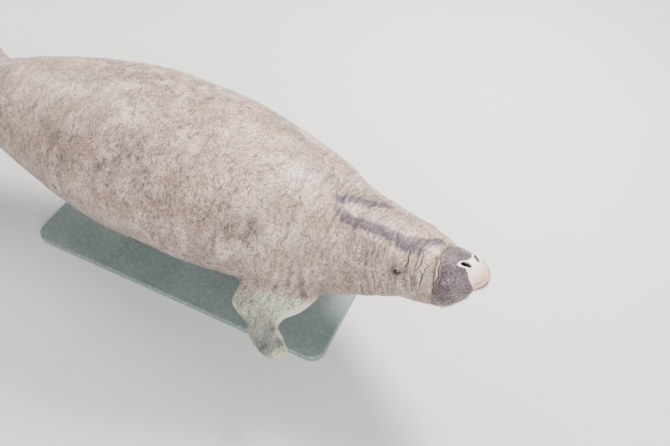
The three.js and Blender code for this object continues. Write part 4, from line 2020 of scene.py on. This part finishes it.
@dataclass
class Bristles:
    """Hairs strewn over a painted region of the hide."""

    name: str
    region: str
    density: float
    length: float
    thick: float
    curl: float
    tilt: float
    seed: int
    patch: float = 0.003
    sides: int = 4
    segments: int = 4
    taper: float = 0.18
    shortest: float = 0.5
    longest: float = 1.25

    def tree(self, material: bpy.types.Material) -> bpy.types.GeometryNodeTree:
        """The tree that strews, bends and turns the hairs.

        Args:
            material: the hairs' finish.

        Returns:
            The tree, with its sizes as named inputs.
        """
        sizes = dict.fromkeys(("Density", "Length", "Thickness", "Curl", "Tilt"), "Float")
        tree = empty_tree(self.name, {**sizes, "Seed": "Int"})
        w = Wiring(tree)
        given = w.node("NodeGroupInput").outputs
        density = w.number("MULTIPLY", w.stored(self.region, "FLOAT"), given["Density"])
        strewn = w.node(
            "GeometryNodeDistributePointsOnFaces",
            {"Mesh": given["Geometry"], "Density": density, "Seed": given["Seed"]},
            distribute_method="RANDOM",
        )
        hair = w.node(
            "GeometryNodeMeshCone",
            {
                "Vertices": self.sides,
                "Side Segments": self.segments,
                "Radius Top": self.taper,
                "Radius Bottom": 1.0,
                "Depth": 1.0,
            },
            fill_type="NONE",
        )
        thin = w.node("GeometryNodeInputPosition").outputs[0]
        parts = w.node("ShaderNodeSeparateXYZ", {0: thin})
        bent = w.number("MULTIPLY", w.number("POWER", parts.outputs["Z"], 2.0), given["Curl"])
        wide = w.number("MULTIPLY", parts.outputs["X"], given["Thickness"])
        local = w.node(
            "ShaderNodeCombineXYZ",
            {
                "X": w.number("ADD", wide, bent),
                "Y": w.number("MULTIPLY", parts.outputs["Y"], given["Thickness"]),
                "Z": w.number("MULTIPLY", parts.outputs["Z"], given["Length"]),
            },
        )
        kept = w.node(
            "GeometryNodeStoreNamedAttribute",
            {"Geometry": hair.outputs["Mesh"], "Name": "strand", "Value": thin},
            data_type="FLOAT_VECTOR",
            domain="POINT",
        )
        shaped = w.node(
            "GeometryNodeSetPosition", {"Geometry": kept.outputs[0], "Position": local.outputs[0]}
        )
        less = w.number("MULTIPLY", given["Tilt"], -1.0)
        low = w.node("ShaderNodeCombineXYZ", {"X": less, "Y": less, "Z": 0.0})
        high = w.node("ShaderNodeCombineXYZ", {"X": given["Tilt"], "Y": given["Tilt"], "Z": TAU})
        chance = w.node(
            "FunctionNodeRandomValue",
            {"Min": low.outputs[0], "Max": high.outputs[0], "Seed": given["Seed"]},
            data_type="FLOAT_VECTOR",
        )
        twist = w.node("FunctionNodeEulerToRotation", {0: chance.outputs[0]})
        stance = w.node(
            "FunctionNodeRotateRotation",
            {"Rotation": strewn.outputs["Rotation"], "Rotate By": twist.outputs[0]},
            rotation_space="LOCAL",
        )
        size = w.node(
            "FunctionNodeRandomValue",
            {2: self.shortest, 3: self.longest, "Seed": given["Seed"]},
            data_type="FLOAT",
        )
        set_in = w.node(
            "GeometryNodeInstanceOnPoints",
            {
                "Points": strewn.outputs["Points"],
                "Instance": shaped.outputs[0],
                "Rotation": stance.outputs[0],
                "Scale": size.outputs[1],
            },
        )
        real = w.node("GeometryNodeRealizeInstances", {0: set_in.outputs[0]})
        root, strand = (w.stored(name, "FLOAT_VECTOR") for name in ("unwrap", "strand"))
        upright = w.node("ShaderNodeSeparateXYZ", {0: strand}).outputs
        flat = w.node("ShaderNodeCombineXYZ", {"X": upright["X"], "Y": upright["Z"]})
        small = w.node(
            "ShaderNodeVectorMath",
            {0: flat.outputs[0], "Scale": self.patch / 2},
            operation="SCALE",
        )
        unwrapped = w.node(
            "GeometryNodeStoreNamedAttribute",
            {
                "Geometry": real.outputs[0],
                "Name": BAKE_MAP,
                "Value": w.vector("ADD", root, small.outputs[0]),
            },
            data_type="FLOAT2",
            domain="CORNER",
        )
        dressed = w.node(
            "GeometryNodeSetMaterial", {"Geometry": unwrapped.outputs[0], "Material": material}
        )
        w.node("NodeGroupOutput", {"Geometry": dressed.outputs[0]})
        return tree

    def build(self, hide: bpy.types.Object, material: bpy.types.Material) -> bpy.types.Object:
        """Grows the hairs out of the hide.

        Args:
            hide: the object that they grow from.
            material: the hairs' finish.

        Returns:
            The hairs as one plain mesh, riding on the body.
        """
        ground = linked("ground", hide.data.copy())
        sizes = {
            "Density": self.density,
            "Length": self.length * METRES,
            "Thickness": self.thick * METRES / 2,
            "Curl": self.curl * METRES,
            "Tilt": self.tilt,
            "Seed": self.seed,
        }
        made = grown(ground, self.tree(material), sizes)
        made.data.shade_smooth()
        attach(made, BODY)
        return made


@dataclass
class Nails:
    """The three nails on a flipper's upper face."""

    flipper: Flipper
    length: float = 13
    width: float = 7
    thick: float = 4.6
    across: tuple[float, ...] = (-0.6, -0.05, 0.5)
    at: float = 0.962
    fall: float = 0.1
    rings: int = 15
    around: int = 24
    ridges: int = 6
    ridge_height: float = 0.05

    def build(self, material: bpy.types.Material) -> bpy.types.Object:
        """One mesh with the three nails, which stands for their solids.

        Args:
            material: the nails' finish.

        Returns:
            The object.
        """
        points, faces = [], []
        for share in self.across:
            place = self.at - self.fall * share**2
            tip, chord, normal = self.flipper.axes(place)
            half, thick, _ = self.flipper.row(place)
            edge = self.flipper.section_power
            height = thick * (1 - abs(share) ** edge) ** (1 / edge)
            middle = self.flipper.middle(place) + chord * half * share + normal * height
            polar = np.linspace(0, math.pi, self.rings + 2)[1:-1][:, None]
            turn = np.arange(self.around) * TAU / self.around
            ridge = 1 + self.ridge_height * np.cos(self.ridges * turn)
            rings = (
                middle
                + tip * self.length * np.cos(polar)[..., None]
                + chord * (self.width * np.sin(polar) * np.cos(turn))[..., None]
                + normal * (self.thick * np.sin(polar) * np.sin(turn) * ridge)[..., None]
            )
            ends = middle + tip * self.length, middle - tip * self.length
            own, quads = closed(rings, *ends)
            if self.flipper.side is Side.RIGHT:
                quads = [q[::-1] for q in quads]
            count = sum(len(p) for p in points)
            faces += [tuple(k + count for k in quad) for quad in quads]
            points.append(own)
        word = self.flipper.side.word
        made = piece(f"{word}_nails", np.vstack(points), faces)
        made.data.materials.append(material)
        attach(made, BODY)
        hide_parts(*(f"{word}_nail_{k + 1}" for k in range(len(self.across))))
        return made


def grown(
    ground: bpy.types.Object, tree: bpy.types.GeometryNodeTree, sizes: dict[str, object]
) -> bpy.types.Object:
    """What a geometry tree makes of an object, as a plain mesh that takes its place.

    Args:
        ground: the object that the tree is given, which is used up.
        tree: the tree.
        sizes: a value for each of its named inputs.

    Returns:
        The new object, named as the tree.
    """
    modifier = ground.modifiers.new(tree.name, "NODES")
    modifier.node_group = tree
    for socket in tree.interface.items_tree:
        if socket.in_out == "INPUT" and socket.name in sizes:
            modifier[socket.identifier] = sizes[socket.name]
    mesh = evaluated(ground)
    dropped(ground)
    mesh.name = tree.name
    return linked(tree.name, mesh)


@dataclass
class Stand:
    """A painted board, with two steel rods in screwed flanges."""

    thick: float = 36
    length: float = 1500
    width: float = 640
    corner: float = 60
    corner_steps: int = 12
    edge: float = 5
    edge_steps: int = 4
    rod: float = 26
    flange: float = 72
    flange_height: float = 14
    flange_slope: float = 6
    collar: Rows = ((9, 0), (6, 6), (1, 10), (1, 10.01))
    screws: int = 4
    screw: float = 6.5
    gap: float = 0.3
    ends: tuple[str, str] = ("front", "rear")

    def board(self) -> bpy.types.Object:
        """The board, with rounded corners and softened edges.

        Returns:
            The object.
        """
        bm = bmesh.new()
        half, side, turns = self.length / 2, self.width / 2, self.corner_steps
        outline = []
        for quarter, (x, y) in enumerate(((1, -1), (1, 1), (-1, 1), (-1, -1))):
            for k in range(turns + 1):
                angle = math.pi / 2 * (quarter - 1 + k / turns)
                dx, dy = self.corner * math.cos(angle), self.corner * math.sin(angle)
                outline.append((x * (half - self.corner) + dx, y * (side - self.corner) + dy))
        low = [bm.verts.new((x * METRES, y * METRES, 0)) for x, y in outline]
        base = bm.faces.new(low[::-1])
        raised = bmesh.ops.extrude_face_region(bm, geom=[base])["geom"]
        top = [v for v in raised if isinstance(v, bmesh.types.BMVert)]
        bmesh.ops.translate(bm, verts=top, vec=(0, 0, self.thick * METRES))
        bmesh.ops.recalc_face_normals(bm, faces=bm.faces)
        rims = [e for e in bm.edges if abs(e.verts[0].co.z - e.verts[1].co.z) < 1e-6]
        bmesh.ops.bevel(
            bm,
            geom=rims,
            offset=self.edge * METRES,
            segments=self.edge_steps,
            affect="EDGES",
            profile=0.5,
        )
        mesh = bpy.data.meshes.new("board")
        bm.to_mesh(mesh)
        bm.free()
        made = linked("board", mesh)
        for polygon in mesh.polygons:
            polygon.use_smooth = abs(polygon.normal.z) < 0.999
        points = points_of(mesh)
        soft = np.minimum(points[:, 2], self.thick - points[:, 2]) > 0.01
        paint(mesh, "edge", np.where(soft, 1.0, 0.4))
        return made

    @staticmethod
    def spun(name: str, x: float, profile: Rows, around: int = 72) -> bpy.types.Object:
        """A round piece, spun about an upright axis.

        Args:
            name: its name.
            x: where its axis stands.
            profile: its radius and height from the bottom up.
            around: how many sides it has.

        Returns:
            The object.
        """
        turn = np.arange(around) * TAU / around
        rings = np.array(
            [
                np.stack([x + r * np.cos(turn), r * np.sin(turn), np.full(around, z)], -1)
                for r, z in profile
            ]
        )
        low, high = (np.array([x, 0.0, profile[k][1]]) for k in (0, -1))
        points, faces = closed(rings, low, high)
        return piece(name, points, [face[::-1] for face in faces])

    @staticmethod
    def screw_tree(name: str, steel: bpy.types.Material) -> bpy.types.GeometryNodeTree:
        """The tree that sets screws in a ring.

        Args:
            name: its name.
            steel: the screws' finish.

        Returns:
            The tree, with the ring's sizes as named inputs.
        """
        tree = empty_tree(name, {"Count": "Int", "Ring": "Float", "Place": "Vector"})
        w = Wiring(tree)
        given = w.node("NodeGroupInput").outputs
        sizes = {"Vertices": given["Count"], "Radius": given["Ring"]}
        ring = w.node("GeometryNodeMeshCircle", sizes)
        moved = w.node("GeometryNodeTransform", {0: ring.outputs[0], "Translation": given["Place"]})
        chance = w.node("FunctionNodeRandomValue", {2: 0.0, 3: TAU, "Seed": 3}, data_type="FLOAT")
        twist = w.node("ShaderNodeCombineXYZ", {"Z": chance.outputs[1]})
        turned_by = w.node("FunctionNodeEulerToRotation", {0: twist.outputs[0]})
        inputs = {
            "Points": moved.outputs[0],
            "Instance": given["Geometry"],
            "Rotation": turned_by.outputs[0],
        }
        set_in = w.node("GeometryNodeInstanceOnPoints", inputs)
        real = w.node("GeometryNodeRealizeInstances", {0: set_in.outputs[0]})
        finish = {"Geometry": real.outputs[0], "Material": steel}
        dressed = w.node("GeometryNodeSetMaterial", finish)
        w.node("NodeGroupOutput", {"Geometry": dressed.outputs[0]})
        return tree

    def screw_head(self) -> bpy.types.Object:
        """One domed screw head with a six-sided socket, its foot at the origin.

        Returns:
            The object.
        """
        around, r = 24, self.screw
        turn = np.arange(around) * TAU / around
        hexagon = 0.5 * r / np.cos((turn + math.pi / 6) % (math.pi / 3) - math.pi / 6)
        rows = ((r, -1), (r, 0.35 * r), (0.82 * r, 0.62 * r), (None, 0.7 * r), (None, 0.2 * r))
        radii = [np.full(around, row[0]) if row[0] else hexagon for row in rows]
        rings = np.array(
            [
                np.stack([size * np.cos(turn), size * np.sin(turn), np.full(around, z)], -1)
                for size, (_, z) in zip(radii, rows)
            ]
        )
        low, high = np.array([0, 0, -1.0]), np.array([0, 0, 0.2 * r])
        points, faces = closed(rings, low, high)
        return piece("screw", points, [face[::-1] for face in faces])

    def places(self) -> list[float]:
        """Where the rods stand along X, from the solids.

        Returns:
            The front rod's place, then the rear one's.
        """
        found = []
        for end in self.ends:
            low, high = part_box(f"stand_rod_{end}")
            found.append((low.x + high.x) / 2 / METRES)
        return found

    def build(self) -> list[bpy.types.Object]:
        """Every piece of the stand, each standing for its solid.

        Returns:
            The board, and each end's screws, flange and rod.
        """
        steel, paint_finish = SteelFinish().material(), PaintFinish().material()
        board = self.board()
        board.data.materials.append(paint_finish)
        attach(board, BODY)
        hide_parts("stand_board")
        made = [board]
        foot = self.thick + self.gap
        for end, x in zip(self.ends, self.places()):
            wide, slim = self.flange, self.flange - self.flange_slope
            top = foot + self.flange_height
            outer = ((wide, foot), (wide, foot + 3), (slim + 1.5, top - 1), (slim, top))
            inner = tuple((self.rod + out, top + up) for out, up in self.collar)
            flange = self.spun(f"flange_{end}", x, outer + inner)
            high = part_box(f"stand_rod_{end}")[1].z / METRES
            rod = self.spun(f"rod_{end}", x, ((self.rod, foot + 2), (self.rod, high)))
            ring = {
                "Count": self.screws,
                "Ring": (self.flange + self.rod) / 2 * METRES,
                "Place": Vector((x, 0, top)) * METRES,
            }
            screws = grown(self.screw_head(), self.screw_tree(f"screws_{end}", steel), ring)
            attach(screws, BODY)
            made.append(screws)
            for one, kind in ((flange, "flange"), (rod, "rod")):
                one.data.materials.append(steel)
                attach(one, BODY)
                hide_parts(f"stand_{kind}_{end}")
                made.append(one)
        return made


@dataclass(frozen=True)
class Lamp:
    """A square soft lamp that faces a point."""

    name: str
    place: Triple
    aim: Triple
    size: float
    watts: float
    colour: Colour

    def build(self) -> None:
        """Adds the lamp to the scene, turned towards its point."""
        data = bpy.data.lights.new(self.name, "AREA")
        data.shape, data.size = "SQUARE", self.size
        data.energy, data.color = self.watts, self.colour
        made = linked(self.name, data)
        made.location = self.place
        made.rotation_mode = "QUATERNION"
        aim = Vector(self.aim) - Vector(self.place)
        made.rotation_quaternion = aim.to_track_quat("-Z", "Y")


@dataclass
class Studio:
    """A pale floor, soft light and the camera of the photographed view."""

    lamps: tuple[Lamp, ...] = (
        Lamp("key", (1.2, 2.4, 3.4), (0.4, 0, 0.6), 1.1, 400, (1.0, 0.97, 0.93)),
        Lamp("fill", (2.6, -3.2, 2.6), (0.4, 0, 0.5), 3.0, 230, (0.96, 0.98, 1.0)),
        Lamp("back", (-3.2, 1.2, 3.2), (-0.3, 0, 0.5), 2.0, 170, (1.0, 0.98, 0.96)),
    )
    sky: Colour = (0.86, 0.9, 0.95)
    sky_strength: float = 0.7
    floor_size: float = 80
    azimuth: float = 25.82
    elevation: float = 52.23
    distance: float = 2.37787
    target: Triple = (0.67877, -0.0175, 0.575)
    focal_share: float = 640 / 670
    sensor: float = 36

    def floor(self) -> None:
        """A large pale floor under the stand."""
        half = self.floor_size / 2
        mesh = bpy.data.meshes.new("floor")
        square = [(x * half, y * half, 0) for x, y in ((-1, -1), (1, -1), (1, 1), (-1, 1))]
        mesh.from_pydata(square, [], [(0, 1, 2, 3)])
        made = linked("floor", mesh)
        material, w, shader, where = blank("floor")
        tint = w.mixed(w.grain(where, 1.5, 3), linear(214, 214, 210), linear(222, 222, 219))
        w.feed(shader, {"Base Color": tint, "Roughness": 0.8})
        mesh.materials.append(material)
        made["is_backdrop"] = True

    def light(self) -> None:
        """A warm key from the far side, a wide fill and a pale surround."""
        for lamp in self.lamps:
            lamp.build()
        world = bpy.data.worlds.new("surround")
        world.use_nodes = True
        sky = world.node_tree.nodes["Background"]
        sky.inputs["Color"].default_value = (*self.sky, 1)
        sky.inputs["Strength"].default_value = self.sky_strength
        bpy.context.scene.world = world

    def camera(self) -> None:
        """The camera at the photographed angle and distance."""
        az, el = math.radians(self.azimuth), math.radians(self.elevation)
        back = Vector((math.sin(az) * math.cos(el), -math.cos(az) * math.cos(el), math.sin(el)))
        data = bpy.data.cameras.new("camera")
        data.sensor_width = self.sensor
        data.lens = self.focal_share * self.sensor
        made = linked("camera", data)
        made.location = Vector(self.target) + back * self.distance
        made.rotation_mode = "QUATERNION"
        made.rotation_quaternion = back.to_track_quat("Z", "Y")
        data.clip_start, data.clip_end = 0.01, 100
        bpy.context.scene.camera = made

    def build(self) -> None:
        """Sets the whole studio up."""
        self.floor()
        self.light()
        self.camera()


def corners() -> list[list[float]]:
    """The whole object's box, as plain lists."""
    return [list(corner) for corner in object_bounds()]


def main() -> None:
    """Builds every piece round the frame and reports each."""
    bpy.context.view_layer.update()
    spine = Spine()
    trunk = Trunk(spine)
    flippers = Flipper(spine, Side.LEFT), Flipper(spine, Side.RIGHT)
    nostrils = Nostril(trunk, Side.LEFT), Nostril(trunk, Side.RIGHT)
    eyes = Eye(trunk, Side.LEFT), Eye(trunk, Side.RIGHT)
    hide = Hide(trunk, Jaw(spine), flippers, nostrils, eyes).build()
    log.info("hide: %d faces", len(hide.data.polygons))
    eye_finish = EyeFinish().material()
    for eye in eyes:
        ball = eye.ball()
        ball.data.materials.append(eye_finish)
        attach(ball, BODY)
        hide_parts(f"{eye.side.word}_eye")
        log.info("%s: %d faces", ball.name, len(ball.data.polygons))
    horn = HornFinish().material()
    for flipper in flippers:
        nails = Nails(flipper).build(horn)
        log.info("%s: %d faces", nails.name, len(nails.data.polygons))
    hair = BristleFinish().material()
    coats = (
        Bristles("lip_bristles", "bristle", 26000, 11, 0.9, 3.0, 0.5, 5),
        Bristles("body_hairs", "hair", 900, 9, 0.45, 3.0, 0.8, 8),
    )
    for coat in coats:
        made = coat.build(hide, hair)
        log.info("%s: %d faces", made.name, len(made.data.polygons))
    for made in Stand().build():
        log.info("%s: %d faces", made.name, len(made.data.polygons))
    Studio().build()


if __name__ == "__main__":
    logging.basicConfig(level=logging.INFO, format="%(name)s: %(message)s")
    main()
